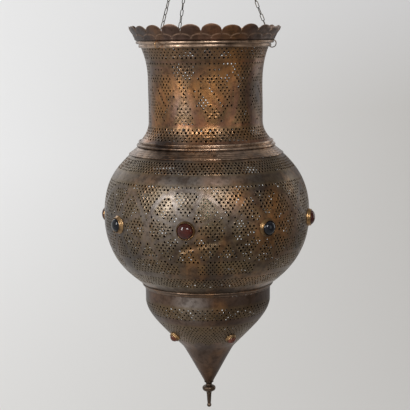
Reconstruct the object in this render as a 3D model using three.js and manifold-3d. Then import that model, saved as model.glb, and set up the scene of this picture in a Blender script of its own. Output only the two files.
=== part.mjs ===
// A pierced brass pendant lamp in the Moroccan style, hung on three chains from a ceiling hook.
// Millimetres, +Z up. The origin is the centre of the flat face that meets the ceiling.
// Heights on the lamp itself are measured from the widest level of its belly.
// Azimuths are in degrees from the front of the lamp (-Y), growing towards +X.

import * as THREE from 'three';
import { ConvexGeometry } from 'three/addons/geometries/ConvexGeometry.js';
import { mergeVertices } from 'three/addons/utils/BufferGeometryUtils.js';
import Module from 'manifold-3d';

const wasm = await Module();
wasm.setup();

// Fits and facets
const CLEARANCE = 0.3;
const SHELL_WALL = 0.9;
const SHELL_SIDES = 32;
const NECK_SIDES = 36;
const CANOPY_SIDES = 24;
const CUTTER_OVERRUN = 1;

// Ceiling fitting
const CANOPY_RADIUS = 45;
const CANOPY_DEPTH = 30;
const CANOPY_FLOOR = 2;
const CANOPY_FLOOR_RADIUS = 10;
const CANOPY_LIP_HEIGHT = 6;
const CANOPY_FLARE_RADIUS = 33;
const CANOPY_FLARE_HEIGHT = 21.6;
const PLATE_THICKNESS = 4;
const PLATE_HOLE_RADIUS = 2.3;
const PLATE_HOLE_OFFSET = 28;
const SIDE_SCREW_RADIUS = 1.2;
const SIDE_SCREW_LENGTH = 7;
const SIDE_SCREW_HEAD_RADIUS = 2.6;
const SIDE_SCREW_HEAD_HEIGHT = 1.6;

// Hook and the ring that hangs on it
const HOOK_WIRE_RADIUS = 2.5;
const HOOK_BEND_RADIUS = 11;
const HOOK_SHANK_LENGTH = 12;
const HOOK_THREAD_PROUD = 2;
const HOOK_SHOULDER_RADIUS = 6;
const HOOK_SHOULDER_HEIGHT = 3;
const HOOK_TIP_ANGLE = 30;
const HOOK_NUT_RADIUS = 5.5;
const HOOK_NUT_HEIGHT = 5;
const RING_WIRE_RADIUS = 2;
const RING_RADIUS = 17;

// Chains
const CHAIN_HEIGHT = 360;
const CHAIN_AZIMUTHS = [-42, 79, 205];
const CHAIN_RING_SPACING = 6;
const LINK_PITCH = 14;
const LINK_WIRE_RADIUS = 0.9;
const LINK_END_RADIUS = 2.7;
const LINK_BITE = 0.2;
const TOP_LINK_LENGTH = 17;
const TOP_LINK_WIRE_RADIUS = 1;
const TOP_LINK_END_RADIUS = 4.2;
const EYE_RADIUS = 8;
const EYE_WIRE_RADIUS = 1;
const EYE_OFFSET = 5.6;

// Crown and the double bead under it
const CROWN_BASE_HEIGHT = 340;
const CROWN_BASE_RADIUS = 142;
const CROWN_FLARE_WIDTH = 19.5;
const CROWN_HEIGHT = 35;
const SCALLOP_COUNT = 21;
const SCALLOP_DEPTH = 14;
const SCALLOP_AZIMUTH = -40;
const SCALLOP_COLUMNS = 4;
const BEAD_HEIGHT = 9;
const BEAD_UPPER_PROUD = 2;
const BEAD_UPPER_HEIGHT = 6.3;
const BEAD_LOWER_INSET = 1;
const BEAD_LOWER_HEIGHT = 1.8;
const BEAD_GROOVE_DEPTH = 1.5;
const BEAD_GROOVE_HEIGHT = 4;
const BEAD_EDGE_ROUND = 1;
const BEAD_FIT = 0.36;

// Neck
const NECK_TOP_INSET = 5.5;
const NECK_WAIST_RADIUS = 118.6;
const NECK_FOOT_RADIUS = 136;
const NECK_FOOT_HEIGHT = 138;
const NECK_TOP_FLARE_HEIGHT = 84;
const NECK_FOOT_FLARE_HEIGHT = 42;
const NECK_CURVE = 2.3;
const NECK_BAND_BOTTOM = 148;
const NECK_PANEL_BOTTOM = 176;
const NECK_PANEL_TOP = 292;
const NECK_PANEL_ROWS = 5;
const NECK_TEETH_BOTTOM = 303;
const NECK_TEETH_TOP = 329;

// Mouldings between the neck and the belly
const MOULDING_HEIGHT = 12;
const MOULDING_PROUD = 8;
const MOULDING_LAP = 3;
const MOULDING_EDGE_ROUND = 2;
const MOULDING_CREST_BOTTOM = 3;
const MOULDING_CREST_TOP = 7.2;
const MOULDING_TOP_WIDTH = 1.5;
const SHOULDER_HEIGHT = 15.5;
const SHOULDER_PROUD = 0.5;
const SHOULDER_WALL = 1.6;
const SHOULDER_STEP_WIDTH = 6.4;
const SHOULDER_STEP_HEIGHT = 9;
const SHOULDER_TOP_INSET = 1;

// Belly
const BELLY_RADIUS = 214;
const BELLY_WIDEST_HEIGHT = -8;
const BELLY_TOP_RADIUS = 159.5;
const BELLY_FOOT_RADIUS = 137;
const BELLY_FOOT_HEIGHT = -161;
const BELLY_TOP_CURVE = 2.35;
const BELLY_FOOT_CURVE = 2.7;

// Seam collar under the belly
const COLLAR_HEIGHT = 10;
const COLLAR_PROUD = 2;
const COLLAR_LIP_WIDTH = 4.5;
const COLLAR_COVE_HEIGHT = 4;
const COLLAR_CREST_HEIGHT = 7;
const COLLAR_EDGE_ROUND = 1;

// Lower bowl, drawn down to a cone
const BOWL_RADIUS = 131.5;
const BOWL_SHOULDER_HEIGHT = -196;
const BOWL_WAIST_RADIUS = 53;
const BOWL_WAIST_HEIGHT = -300;
const BOWL_SHOULDER_PULL_HEIGHT = 29;
const BOWL_WAIST_PULL_HEIGHT = 38;
const BOWL_WAIST_PULL_WIDTH = 38.2;
const BOWL_TIP_RADIUS = 9.4;
const BOWL_TIP_HEIGHT = -379;
const BOWL_TIP_FLOOR = 3;
const BOWL_BAND_ROW = 1;

// Glass jewels and the bezels that hold them
const BELLY_JEWEL_COUNT = 8;
const BELLY_JEWEL_AZIMUTH = -11.4;
const BELLY_JEWEL_HEIGHT = -22;
const BELLY_JEWEL_RADIUS = 15.8;
const BELLY_JEWEL_STANDOFF = 16.5;
const BELLY_BEZEL_WALL = 2;
const BELLY_BEZEL_HEIGHT = 9;
const BOWL_JEWEL_COUNT = 4;
const BOWL_JEWEL_AZIMUTH = -56.4;
const BOWL_JEWEL_HEIGHT = -270;
const BOWL_JEWEL_RADIUS = 8.6;
const BOWL_JEWEL_STANDOFF = 9;
const BOWL_BEZEL_WALL = 1.6;
const BOWL_BEZEL_HEIGHT = 5.5;
const JEWEL_SEAT_WIDTH = 2.6;
const JEWEL_GRIP_RATIO = 0.6;

// Piercings: a coarse form of the fine pattern, one opening to a facet, with a rib left round each
const PUNCH_DEPTH = 6;
const PUNCH_LENGTH = 200;
const BELLY_ROSETTE_ROW_HEIGHT = 40;
const BELLY_RIB = 8;
const NECK_RIB = 6;
const BOWL_RIB = 6;
const HOURGLASS_AZIMUTH = -21.6;
const HOURGLASS_COUNT = 6;
const HOURGLASS_WAIST_ROWS = 1;
const PETAL_WIDEST_SHARE = 0.3;
const CORNER_PETAL_END_SHARE = 0.8;
const CORNER_PETAL_WIDTH_SHARE = 0.6;

// Finial
const FINIAL_LENGTH = 55;
const FINIAL_LIP_HEIGHT = 2.8;
const FINIAL_NECK_RADIUS = 6;
const FINIAL_NECK_HEIGHT = 3.3;
const FINIAL_COVE_HEIGHT = 4.2;
const FINIAL_KNOB_RADIUS = 13.5;
const FINIAL_KNOB_HEIGHT = 6.1;
const FINIAL_KNOB_UNDERSIDE_RADIUS = 8.1;
const FINIAL_KNOB_UNDERSIDE_HEIGHT = 5;
const FINIAL_SPIKE_RADIUS = 4.8;
const FINIAL_SPIKE_ROOT_HEIGHT = 6;
const FINIAL_SPIKE_NECK_RADIUS = 3.6;
const FINIAL_TIP_BEAD_HEIGHT = 7.7;
const FINIAL_TIP_RADIUS = 3.8;
const FINIAL_TIP_ROUND = 1.1;
const FINIAL_BORE_DEPTH = 18;

// Candle holder inside the belly
const STEM_RADIUS = 4;
const STEM_FIT = 0.4;
const STEM_NUT_RADIUS = 8;
const STEM_NUT_HEIGHT = 5;
const PAN_HEIGHT = -70;
const PAN_RADIUS = 35;
const PAN_FLOOR_RADIUS = 28;
const PAN_RIM_HEIGHT = 9;
const PAN_WALL = 1.5;
const CUP_DEPTH = 20;
const CUP_WALL = 2;
const CUP_FLOOR = 6;
const CUP_LIP_WIDTH = 1.5;
const CUP_LIP_HEIGHT = 1;
const CANDLE_RADIUS = 12;
const CANDLE_LENGTH = 95;
const CANDLE_FIT = 0.5;
const CANDLE_SHOULDER_ROUND = 2;
const CANDLE_WELL_DEPTH = 1;
const WICK_RADIUS = 1.1;
const WICK_LENGTH = 14;
const WICK_DEPTH = 5;

const radians = THREE.MathUtils.degToRad;

const materials = {
  brass: new THREE.MeshStandardMaterial({ color: 0x6a5343, roughness: 0.5, metalness: 0.9 }),
  darkBrass: new THREE.MeshStandardMaterial({ color: 0x594d46, roughness: 0.55, metalness: 0.85 }),
  paleBrass: new THREE.MeshStandardMaterial({ color: 0xb9a27c, roughness: 0.4, metalness: 0.95 }),
  steel: new THREE.MeshStandardMaterial({ color: 0x3a3733, roughness: 0.45, metalness: 0.9 }),
  redGlass: new THREE.MeshStandardMaterial({ color: 0x6e1414, roughness: 0.12, metalness: 0 }),
  blueGlass: new THREE.MeshStandardMaterial({ color: 0x141a36, roughness: 0.12, metalness: 0 }),
  amberGlass: new THREE.MeshStandardMaterial({ color: 0x8a3d12, roughness: 0.12, metalness: 0 }),
  wax: new THREE.MeshStandardMaterial({ color: 0xe6dcc4, roughness: 0.6, metalness: 0 }),
  wick: new THREE.MeshStandardMaterial({ color: 0x2b2622, roughness: 0.9, metalness: 0 }),
};

// Six times the volume that the triangles of an indexed geometry enclose, negative when inside out.
function signedVolume(position, index) {
  const a = new THREE.Vector3();
  const b = new THREE.Vector3();
  const c = new THREE.Vector3();
  let total = 0;
  for (let i = 0; i < index.length; i += 3) {
    a.fromBufferAttribute(position, index[i]);
    b.fromBufferAttribute(position, index[i + 1]);
    c.fromBufferAttribute(position, index[i + 2]);
    total += a.dot(b.cross(c));
  }
  return total;
}

// Joins equal corners, drops the empty triangles at poles and turns the faces outwards.
function closed(geometry) {
  const bare = new THREE.BufferGeometry();
  bare.setAttribute('position', geometry.getAttribute('position').clone());
  if (geometry.index) {
    bare.setIndex(geometry.index.clone());
  }
  const merged = mergeVertices(bare);
  const position = merged.getAttribute('position');
  const index = [];
  for (let i = 0; i < merged.index.count; i += 3) {
    const corners = [merged.index.getX(i), merged.index.getX(i + 1), merged.index.getX(i + 2)];
    if (new Set(corners).size === 3) {
      index.push(...corners);
    }
  }
  if (signedVolume(position, index) < 0) {
    index.reverse();
  }
  merged.setIndex(index);
  merged.computeVertexNormals();
  return merged;
}

function toSolid(geometry) {
  const shape = closed(geometry);
  const mesh = new wasm.Mesh({
    numProp: 3,
    vertProperties: new Float32Array(shape.getAttribute('position').array),
    triVerts: new Uint32Array(shape.index.array),
  });
  return new wasm.Manifold(mesh);
}

function toGeometry(solid) {
  const mesh = solid.getMesh();
  const geometry = new THREE.BufferGeometry();
  geometry.setAttribute('position', new THREE.BufferAttribute(mesh.vertProperties, 3));
  geometry.setIndex(new THREE.BufferAttribute(mesh.triVerts, 1));
  geometry.computeVertexNormals();
  return geometry;
}

function cut(geometry, cutters) {
  let solid = toSolid(geometry);
  for (const cutter of cutters) {
    solid = solid.subtract(toSolid(cutter));
  }
  return toGeometry(solid);
}

function join(geometries) {
  let solid = toSolid(geometries[0]);
  for (const geometry of geometries.slice(1)) {
    solid = solid.add(toSolid(geometry));
  }
  return toGeometry(solid);
}

// Turns a profile of [radius, height] pairs about the Z axis. A profile off the axis closes on itself.
function turned(profile, sides, firstEdge = 0) {
  const points = profile.map(([radius, height]) => new THREE.Vector2(radius, height));
  const onAxis = profile[0][0] === 0;
  if (!onAxis) {
    points.push(points[0].clone());
  }
  const geometry = new THREE.LatheGeometry(points, sides, radians(firstEdge));
  geometry.rotateX(Math.PI / 2);
  return closed(geometry);
}

// A turned shell with one facet centred on azimuth 0.
function turnedShell(profile) {
  return turned(profile, SHELL_SIDES, -180 / SHELL_SIDES);
}

// A turned shell with one facet centred on an hourglass of the neck.
function turnedNeck(profile) {
  return turned(profile, NECK_SIDES, HOURGLASS_AZIMUTH - 180 / NECK_SIDES);
}

// A tube of even thickness along a path, with flat ends.
function swept(path, radius, sides, steps) {
  const section = new THREE.Shape();
  for (let i = 0; i < sides; i += 1) {
    const angle = (2 * Math.PI * i) / sides;
    const x = radius * Math.cos(angle);
    const y = radius * Math.sin(angle);
    if (i === 0) {
      section.moveTo(x, y);
    } else {
      section.lineTo(x, y);
    }
  }
  return closed(new THREE.ExtrudeGeometry(section, { steps, bevelEnabled: false, extrudePath: path }));
}

// A plain round bar about the Z axis, or the drill for a hole.
function rod(radius, bottom, top, sides) {
  return turned([[0, bottom], [radius, bottom], [radius, top], [0, top]], sides);
}

// A nut: the flats of its bore clear a round thread of the given radius.
function hexNut(radius, height, threadRadius) {
  const bore = (threadRadius + CLEARANCE) / Math.cos(Math.PI / 6);
  return turned([[bore, 0], [radius, 0], [radius, height], [bore, height]], 6);
}

// Evenly spaced samples of a function of height, from one end of a stretch to the other.
function sampled(from, to, steps, radiusAt) {
  const points = [];
  for (let i = 0; i <= steps; i += 1) {
    const height = THREE.MathUtils.lerp(from, to, i / steps);
    points.push([radiusAt(height), height]);
  }
  return points;
}

// Radius of a sampled profile at a height, by straight lines between its points.
function radiusOn(profile, height) {
  for (let i = 1; i < profile.length; i += 1) {
    const [r0, z0] = profile[i - 1];
    const [r1, z1] = profile[i];
    if ((height - z0) * (height - z1) <= 0 && z0 !== z1) {
      return THREE.MathUtils.lerp(r0, r1, (height - z0) / (z1 - z0));
    }
  }
  throw new Error('height is off the profile');
}

// How fast the radius grows with height there.
function slopeOn(profile, height) {
  const step = 4;
  return (radiusOn(profile, height + step) - radiusOn(profile, height - step)) / (2 * step);
}

// Moves each point of a profile along its normal, inwards for a negative distance.
function offsetProfile(profile, distance) {
  return profile.map(([radius, height], i) => {
    const [r0, z0] = profile[Math.max(i - 1, 0)];
    const [r1, z1] = profile[Math.min(i + 1, profile.length - 1)];
    const slope = (r1 - r0) / (z1 - z0);
    return [radius + distance * Math.hypot(1, slope), height];
  });
}

// A sheet wall of constant thickness inside an outer profile.
function shellProfile(outer, wall) {
  return [...outer, ...offsetProfile(outer, -wall).reverse()];
}

// The solid that fills a shell out to a clearance over its face.
function filledProfile(outer, clearance) {
  const grown = offsetProfile(outer, clearance);
  const first = grown[0];
  const last = grown[grown.length - 1];
  return [[0, first[1]], ...grown, [0, last[1]]];
}

function placed(geometry, azimuth) {
  return geometry.clone().rotateZ(radians(azimuth));
}

function addMesh(parent, name, geometry, material) {
  const mesh = new THREE.Mesh(geometry, material);
  mesh.name = name;
  parent.add(mesh);
  return mesh;
}

// Heights down the ceiling fitting
const canopyFloorTop = -CANOPY_DEPTH + CANOPY_FLOOR;
const shoulderTop = -CANOPY_DEPTH - CLEARANCE;
const bendTop = shoulderTop - HOOK_SHOULDER_HEIGHT - HOOK_SHANK_LENGTH;
const bendCentre = bendTop - HOOK_BEND_RADIUS - HOOK_WIRE_RADIUS;
const hookBottom = bendCentre - HOOK_BEND_RADIUS;
const ringSeat = HOOK_WIRE_RADIUS + RING_WIRE_RADIUS + CLEARANCE;
const ringCentre = hookBottom + ringSeat - RING_RADIUS;
const ringBottom = ringCentre - RING_RADIUS;

// Neck profile: a straight waist with a flare at each end
const neckTopHeight = CROWN_BASE_HEIGHT - CLEARANCE;
const neckTopRadius = CROWN_BASE_RADIUS - NECK_TOP_INSET;
const topFlareStart = neckTopHeight - NECK_TOP_FLARE_HEIGHT;
const footFlareEnd = NECK_FOOT_HEIGHT + NECK_FOOT_FLARE_HEIGHT;

function neckRadius(height) {
  const up = Math.max(0, (height - topFlareStart) / NECK_TOP_FLARE_HEIGHT);
  const down = Math.max(0, (footFlareEnd - height) / NECK_FOOT_FLARE_HEIGHT);
  const topGain = (neckTopRadius - NECK_WAIST_RADIUS) * up ** NECK_CURVE;
  const footGain = (NECK_FOOT_RADIUS - NECK_WAIST_RADIUS) * down ** NECK_CURVE;
  return NECK_WAIST_RADIUS + topGain + footGain;
}

const neckOuter = [
  ...sampled(NECK_FOOT_HEIGHT, NECK_BAND_BOTTOM, 1, neckRadius),
  ...sampled(NECK_PANEL_BOTTOM, NECK_PANEL_TOP, NECK_PANEL_ROWS, neckRadius),
  ...sampled(NECK_TEETH_BOTTOM, NECK_TEETH_TOP, 1, neckRadius),
  [neckTopRadius, neckTopHeight],
];

// Belly profile: two quarter curves that meet at the widest level
const mouldingTop = NECK_FOOT_HEIGHT - CLEARANCE;
const shoulderRingTop = mouldingTop - MOULDING_HEIGHT - CLEARANCE;
const bellyTopHeight = shoulderRingTop - SHOULDER_HEIGHT - CLEARANCE;
const mouldingRadius = NECK_FOOT_RADIUS + MOULDING_PROUD;

function bellyRadius(height) {
  if (height >= BELLY_WIDEST_HEIGHT) {
    const up = (height - BELLY_WIDEST_HEIGHT) / (bellyTopHeight - BELLY_WIDEST_HEIGHT);
    return BELLY_RADIUS - (BELLY_RADIUS - BELLY_TOP_RADIUS) * up ** BELLY_TOP_CURVE;
  }
  const down = (BELLY_WIDEST_HEIGHT - height) / (BELLY_WIDEST_HEIGHT - BELLY_FOOT_HEIGHT);
  return BELLY_RADIUS - (BELLY_RADIUS - BELLY_FOOT_RADIUS) * down ** BELLY_FOOT_CURVE;
}

const bellyOuter = [
  ...sampled(BELLY_FOOT_HEIGHT, BELLY_JEWEL_HEIGHT - BELLY_ROSETTE_ROW_HEIGHT / 2, 3, bellyRadius),
  ...sampled(BELLY_JEWEL_HEIGHT + BELLY_ROSETTE_ROW_HEIGHT / 2, bellyTopHeight, 3, bellyRadius),
];

// Bowl profile: a short drum, a round shoulder, and a cone below the waist
const collarTop = BELLY_FOOT_HEIGHT - CLEARANCE;
const bowlTopHeight = collarTop - COLLAR_HEIGHT - CLEARANCE;

function bowlPoints() {
  const pulledRadius = BOWL_WAIST_RADIUS + BOWL_WAIST_PULL_WIDTH;
  const curve = new THREE.CubicBezierCurve(
    new THREE.Vector2(BOWL_RADIUS, BOWL_SHOULDER_HEIGHT),
    new THREE.Vector2(BOWL_RADIUS, BOWL_SHOULDER_HEIGHT - BOWL_SHOULDER_PULL_HEIGHT),
    new THREE.Vector2(pulledRadius, BOWL_WAIST_HEIGHT + BOWL_WAIST_PULL_HEIGHT),
    new THREE.Vector2(BOWL_WAIST_RADIUS, BOWL_WAIST_HEIGHT),
  );
  const round = curve.getPoints(5).map((point) => [point.x, point.y]);
  return [[BOWL_RADIUS, bowlTopHeight], ...round, [BOWL_TIP_RADIUS, BOWL_TIP_HEIGHT]];
}

const bowlOuter = bowlPoints();

// Eye rings that tie the chains to the rim, modelled at azimuth 0
const eyeHeight = CROWN_BASE_HEIGHT - BEAD_HEIGHT / 2;
const eyeCentreRadius = radiusOn(neckOuter, eyeHeight) + EYE_OFFSET;
const lampHeight = ringBottom - CHAIN_HEIGHT - eyeHeight;

function eyeRing(wireRadius) {
  const geometry = new THREE.TorusGeometry(EYE_RADIUS, wireRadius, 5, 14);
  geometry.rotateY(Math.PI / 2);
  geometry.translate(0, -eyeCentreRadius, eyeHeight);
  return closed(geometry);
}

function eyeHoles() {
  return CHAIN_AZIMUTHS.map((azimuth) => placed(eyeRing(EYE_WIRE_RADIUS + CLEARANCE), azimuth));
}

function ceilingPlate() {
  const radius = CANOPY_RADIUS - SHELL_WALL - CLEARANCE;
  const plate = rod(radius, -PLATE_THICKNESS, 0, CANOPY_SIDES);
  const screwHole = rod(PLATE_HOLE_RADIUS, -PLATE_THICKNESS - CUTTER_OVERRUN, CUTTER_OVERRUN, 12);
  const front = screwHole.clone().translate(0, -PLATE_HOLE_OFFSET, 0);
  const back = screwHole.clone().translate(0, PLATE_HOLE_OFFSET, 0);
  return cut(plate, [front, back, sideScrew(1, CLEARANCE), sideScrew(-1, CLEARANCE)]);
}

function canopyCup() {
  const rim = -CLEARANCE;
  const boreRadius = HOOK_WIRE_RADIUS + CLEARANCE;
  const lip = -CANOPY_LIP_HEIGHT;
  const flare = -CANOPY_FLARE_HEIGHT;
  const outer = [
    [CANOPY_RADIUS, rim],
    [CANOPY_RADIUS, lip],
    [CANOPY_FLARE_RADIUS, flare],
    [CANOPY_FLOOR_RADIUS, -CANOPY_DEPTH],
    [boreRadius, -CANOPY_DEPTH],
  ];
  const inner = [
    [boreRadius, canopyFloorTop],
    [CANOPY_FLOOR_RADIUS - SHELL_WALL / 2, canopyFloorTop],
    [CANOPY_FLARE_RADIUS - SHELL_WALL, flare + SHELL_WALL],
    [CANOPY_RADIUS - SHELL_WALL, lip + SHELL_WALL / 2],
    [CANOPY_RADIUS - SHELL_WALL, rim],
  ];
  const cup = turned([...outer, ...inner], CANOPY_SIDES);
  return cut(cup, [sideScrew(1, CLEARANCE), sideScrew(-1, CLEARANCE)]);
}

// A screw through the side of the cup into the edge of the plate, grown by a gap when it cuts its hole.
function sideScrew(side, grow) {
  const radius = SIDE_SCREW_RADIUS + grow;
  const headRadius = SIDE_SCREW_HEAD_RADIUS + grow;
  const seat = CANOPY_RADIUS + CLEARANCE - grow;
  const tip = CANOPY_RADIUS - SIDE_SCREW_LENGTH - grow;
  const head = CANOPY_RADIUS + CLEARANCE + SIDE_SCREW_HEAD_HEIGHT;
  const shank = [[0, tip], [radius, tip], [radius, seat]];
  const screw = turned([...shank, [headRadius, seat], [headRadius, head], [0, head]], 12);
  screw.rotateY((side * Math.PI) / 2);
  screw.translate(0, 0, -PLATE_THICKNESS / 2);
  return screw;
}

// The wire runs down its shank, eases out to the right and turns round under the ring to its tip.
function hookBody() {
  const threadTop = canopyFloorTop + HOOK_NUT_HEIGHT + HOOK_THREAD_PROUD;
  const ease = (across, up) => {
    return new THREE.Vector3(HOOK_BEND_RADIUS * across, 0, bendCentre + HOOK_BEND_RADIUS * up);
  };
  const points = [
    new THREE.Vector3(0, 0, threadTop),
    new THREE.Vector3(0, 0, shoulderTop),
    ease(0, 1.55),
    ease(0.35, 1.05),
    ease(0.85, 0.55),
  ];
  const last = 180 + HOOK_TIP_ANGLE;
  const turns = 8;
  for (let i = 0; i <= turns; i += 1) {
    const angle = (last * i) / turns;
    const x = HOOK_BEND_RADIUS * Math.cos(radians(angle));
    const z = bendCentre - HOOK_BEND_RADIUS * Math.sin(radians(angle));
    points.push(new THREE.Vector3(x, 0, z));
  }
  const wire = swept(new THREE.CatmullRomCurve3(points), HOOK_WIRE_RADIUS, 8, 24);
  const shoulderBottom = shoulderTop - HOOK_SHOULDER_HEIGHT;
  return join([wire, rod(HOOK_SHOULDER_RADIUS, shoulderBottom, shoulderTop, 16)]);
}

function hangRing() {
  const ring = new THREE.TorusGeometry(RING_RADIUS, RING_WIRE_RADIUS, 8, 24);
  ring.rotateY(Math.PI / 2);
  ring.translate(0, 0, ringCentre);
  return closed(ring);
}

// A long link: a ring of six corners pulled apart along Y by half its straight length each way.
function link(endSpacing, endRadius, wireRadius) {
  const geometry = new THREE.TorusGeometry(endRadius, wireRadius, 4, 6);
  geometry.rotateZ(Math.PI / 6);
  const position = geometry.getAttribute('position');
  const pull = endSpacing / 2 - endRadius;
  for (let i = 0; i < position.count; i += 1) {
    position.setY(i, position.getY(i) + Math.sign(position.getY(i)) * pull);
  }
  return closed(geometry);
}

// Stands a link along a chain: its Y axis along the chain and its Z axis, the link's normal, turned.
function standLink(geometry, centre, direction, normal) {
  const side = new THREE.Vector3().crossVectors(direction, normal);
  const frame = new THREE.Matrix4().makeBasis(side, direction, normal);
  frame.setPosition(centre);
  return geometry.clone().applyMatrix4(frame);
}

// The links between a point on the hanging ring and an eye ring, each turned a quarter to the one above.
function chain(azimuth, ringOffset) {
  const ringDrop = RING_RADIUS - Math.sqrt(RING_RADIUS ** 2 - ringOffset ** 2);
  const start = new THREE.Vector3(0, ringOffset, ringBottom + ringDrop);
  const turn = radians(azimuth);
  const radial = new THREE.Vector3(Math.sin(turn), -Math.cos(turn), 0);
  const up = new THREE.Vector3(0, 0, 1);
  const eyeCentre = radial.clone().multiplyScalar(eyeCentreRadius);
  eyeCentre.addScaledVector(up, lampHeight + eyeHeight);
  const toStart = start.clone().sub(eyeCentre);
  const lift = radial.clone().multiplyScalar(toStart.dot(radial)).addScaledVector(up, toStart.z).normalize();
  const end = eyeCentre.clone().addScaledVector(lift, EYE_RADIUS);
  const direction = end.clone().sub(start);
  const distance = direction.length();
  direction.normalize();

  const bend = Math.cos(Math.PI / 6);
  const firstEnd = -(RING_WIRE_RADIUS + CLEARANCE) / bend - TOP_LINK_WIRE_RADIUS;
  const lastEnd = distance + (EYE_WIRE_RADIUS + CLEARANCE) / bend + LINK_WIRE_RADIUS;
  const topEnd = firstEnd + TOP_LINK_LENGTH;
  const topHold = TOP_LINK_WIRE_RADIUS + LINK_WIRE_RADIUS - LINK_BITE;
  const hold = 2 * LINK_WIRE_RADIUS - LINK_BITE;
  const span = lastEnd - topEnd + topHold - hold;
  const count = Math.round(span / LINK_PITCH);
  const pitch = span / count;

  const ringLean = ringOffset / RING_RADIUS;
  const ringTangent = new THREE.Vector3(0, Math.sqrt(1 - ringLean ** 2), ringLean);
  const topNormal = ringTangent.projectOnPlane(direction).normalize();
  const endNormal = new THREE.Vector3().crossVectors(lift, new THREE.Vector3().crossVectors(radial, up));
  endNormal.projectOnPlane(direction).normalize();
  const across = new THREE.Vector3().crossVectors(direction, topNormal);
  const wanted = Math.atan2(endNormal.dot(across), endNormal.dot(topNormal));
  const half = Math.PI / 2;
  const rest = THREE.MathUtils.euclideanModulo(wanted - count * half + half, Math.PI) - half;
  const turnStep = half + rest / count;

  const topLink = link(TOP_LINK_LENGTH, TOP_LINK_END_RADIUS, TOP_LINK_WIRE_RADIUS);
  const topCentre = start.clone().addScaledVector(direction, (firstEnd + topEnd) / 2);
  const links = [standLink(topLink, topCentre, direction, topNormal)];
  const plainLink = link(pitch + hold, LINK_END_RADIUS, LINK_WIRE_RADIUS);
  for (let i = 0; i < count; i += 1) {
    const middle = topEnd - topHold + pitch * i + (pitch + hold) / 2;
    const centre = start.clone().addScaledVector(direction, middle);
    const normal = topNormal.clone().applyAxisAngle(direction, turnStep * (i + 1));
    links.push(standLink(plainLink, centre, direction, normal));
  }
  return join(links);
}

// The crown is a flared band whose top edge is lifted into round scallops.
function crown() {
  const slant = CROWN_FLARE_WIDTH / CROWN_HEIGHT;
  const notchHeight = CROWN_BASE_HEIGHT + CROWN_HEIGHT - SCALLOP_DEPTH;
  const notchRadius = CROWN_BASE_RADIUS + CROWN_FLARE_WIDTH - SCALLOP_DEPTH * slant;
  const wall = SHELL_WALL * Math.hypot(1, slant);
  const band = turned(
    [
      [CROWN_BASE_RADIUS - wall, CROWN_BASE_HEIGHT],
      [CROWN_BASE_RADIUS, CROWN_BASE_HEIGHT],
      [notchRadius, notchHeight],
      [notchRadius - wall, notchHeight],
    ],
    SCALLOP_COUNT * SCALLOP_COLUMNS,
    SCALLOP_AZIMUTH,
  );
  const position = band.getAttribute('position');
  const point = new THREE.Vector3();
  for (let i = 0; i < position.count; i += 1) {
    point.fromBufferAttribute(position, i);
    if (point.z > notchHeight - CLEARANCE) {
      const azimuth = THREE.MathUtils.radToDeg(Math.atan2(point.x, -point.y)) - SCALLOP_AZIMUTH;
      const phase = THREE.MathUtils.euclideanModulo((azimuth * SCALLOP_COUNT) / 360, 1);
      const lift = SCALLOP_DEPTH * Math.sqrt(Math.max(0, 1 - (2 * phase - 1) ** 2));
      const radius = Math.hypot(point.x, point.y);
      const grown = (radius + lift * slant) / radius;
      position.setXYZ(i, point.x * grown, point.y * grown, point.z + lift);
    }
  }
  return cut(band, eyeHoles());
}

function crownBead() {
  const top = CROWN_BASE_HEIGHT - CLEARANCE;
  const bottom = top - BEAD_HEIGHT;
  const upperRadius = CROWN_BASE_RADIUS + BEAD_UPPER_PROUD;
  const lowerRadius = CROWN_BASE_RADIUS - BEAD_LOWER_INSET;
  const inner = (height) => radiusOn(neckOuter, height) + BEAD_FIT;
  const profile = [
    [inner(bottom), bottom],
    [lowerRadius - BEAD_EDGE_ROUND, bottom],
    [lowerRadius, bottom + BEAD_LOWER_HEIGHT],
    [lowerRadius - BEAD_GROOVE_DEPTH, bottom + BEAD_GROOVE_HEIGHT],
    [upperRadius, bottom + BEAD_UPPER_HEIGHT],
    [upperRadius - BEAD_EDGE_ROUND, top],
    [inner(top), top],
  ];
  return cut(turnedNeck(profile), eyeHoles());
}

// A four-cornered outline that fills a facet. It points back from a direction of -1, 0 or 1 each way.
function petalOutline(halfWidth, halfLength, along, up, widest) {
  const onCorner = along !== 0 && up !== 0;
  const end = onCorner ? CORNER_PETAL_END_SHARE : 1;
  const spread = onCorner ? CORNER_PETAL_WIDTH_SHARE : 1;
  const at = (forward, aside) => {
    const x = halfWidth * (along * forward - up * aside);
    return new THREE.Vector2(x, halfLength * (up * forward + along * aside));
  };
  return [at(-1, 0), at(widest, -spread), at(end, 0), at(widest, spread)];
}

// The tool for one opening: a long four-sided punch, square to the sheet, its outline a rib smaller than
// the facet.
function piercing(shell, row, column, along = 0, up = 1, widest = 0) {
  const [radius, height] = shell.outer[row];
  const [nextRadius, nextHeight] = shell.outer[row + 1];
  const facetWidth = 2 * Math.min(radius, nextRadius) * Math.sin(Math.PI / shell.sides);
  const facetLength = Math.hypot(nextRadius - radius, nextHeight - height);
  const halfWidth = (facetWidth - shell.rib) / 2;
  const halfLength = (facetLength - shell.rib) / 2;
  const outline = petalOutline(halfWidth, halfLength, along, up, widest);
  const corners = outline.map(({ x, y }) => new THREE.Vector3(x, y, -PUNCH_DEPTH));
  const tool = new ConvexGeometry([...corners, new THREE.Vector3(0, 0, PUNCH_LENGTH)]);
  const place = { outer: shell.outer, height: (height + nextHeight) / 2 };
  return placed(seated(tool, place), shell.firstAzimuth + (360 * column) / shell.sides);
}

// A ring of lozenges in every second facet of a row.
function band(shell, row, firstColumn) {
  const tools = [];
  for (let column = firstColumn; column < shell.sides; column += 2) {
    tools.push(piercing(shell, row, column));
  }
  return tools;
}

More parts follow.
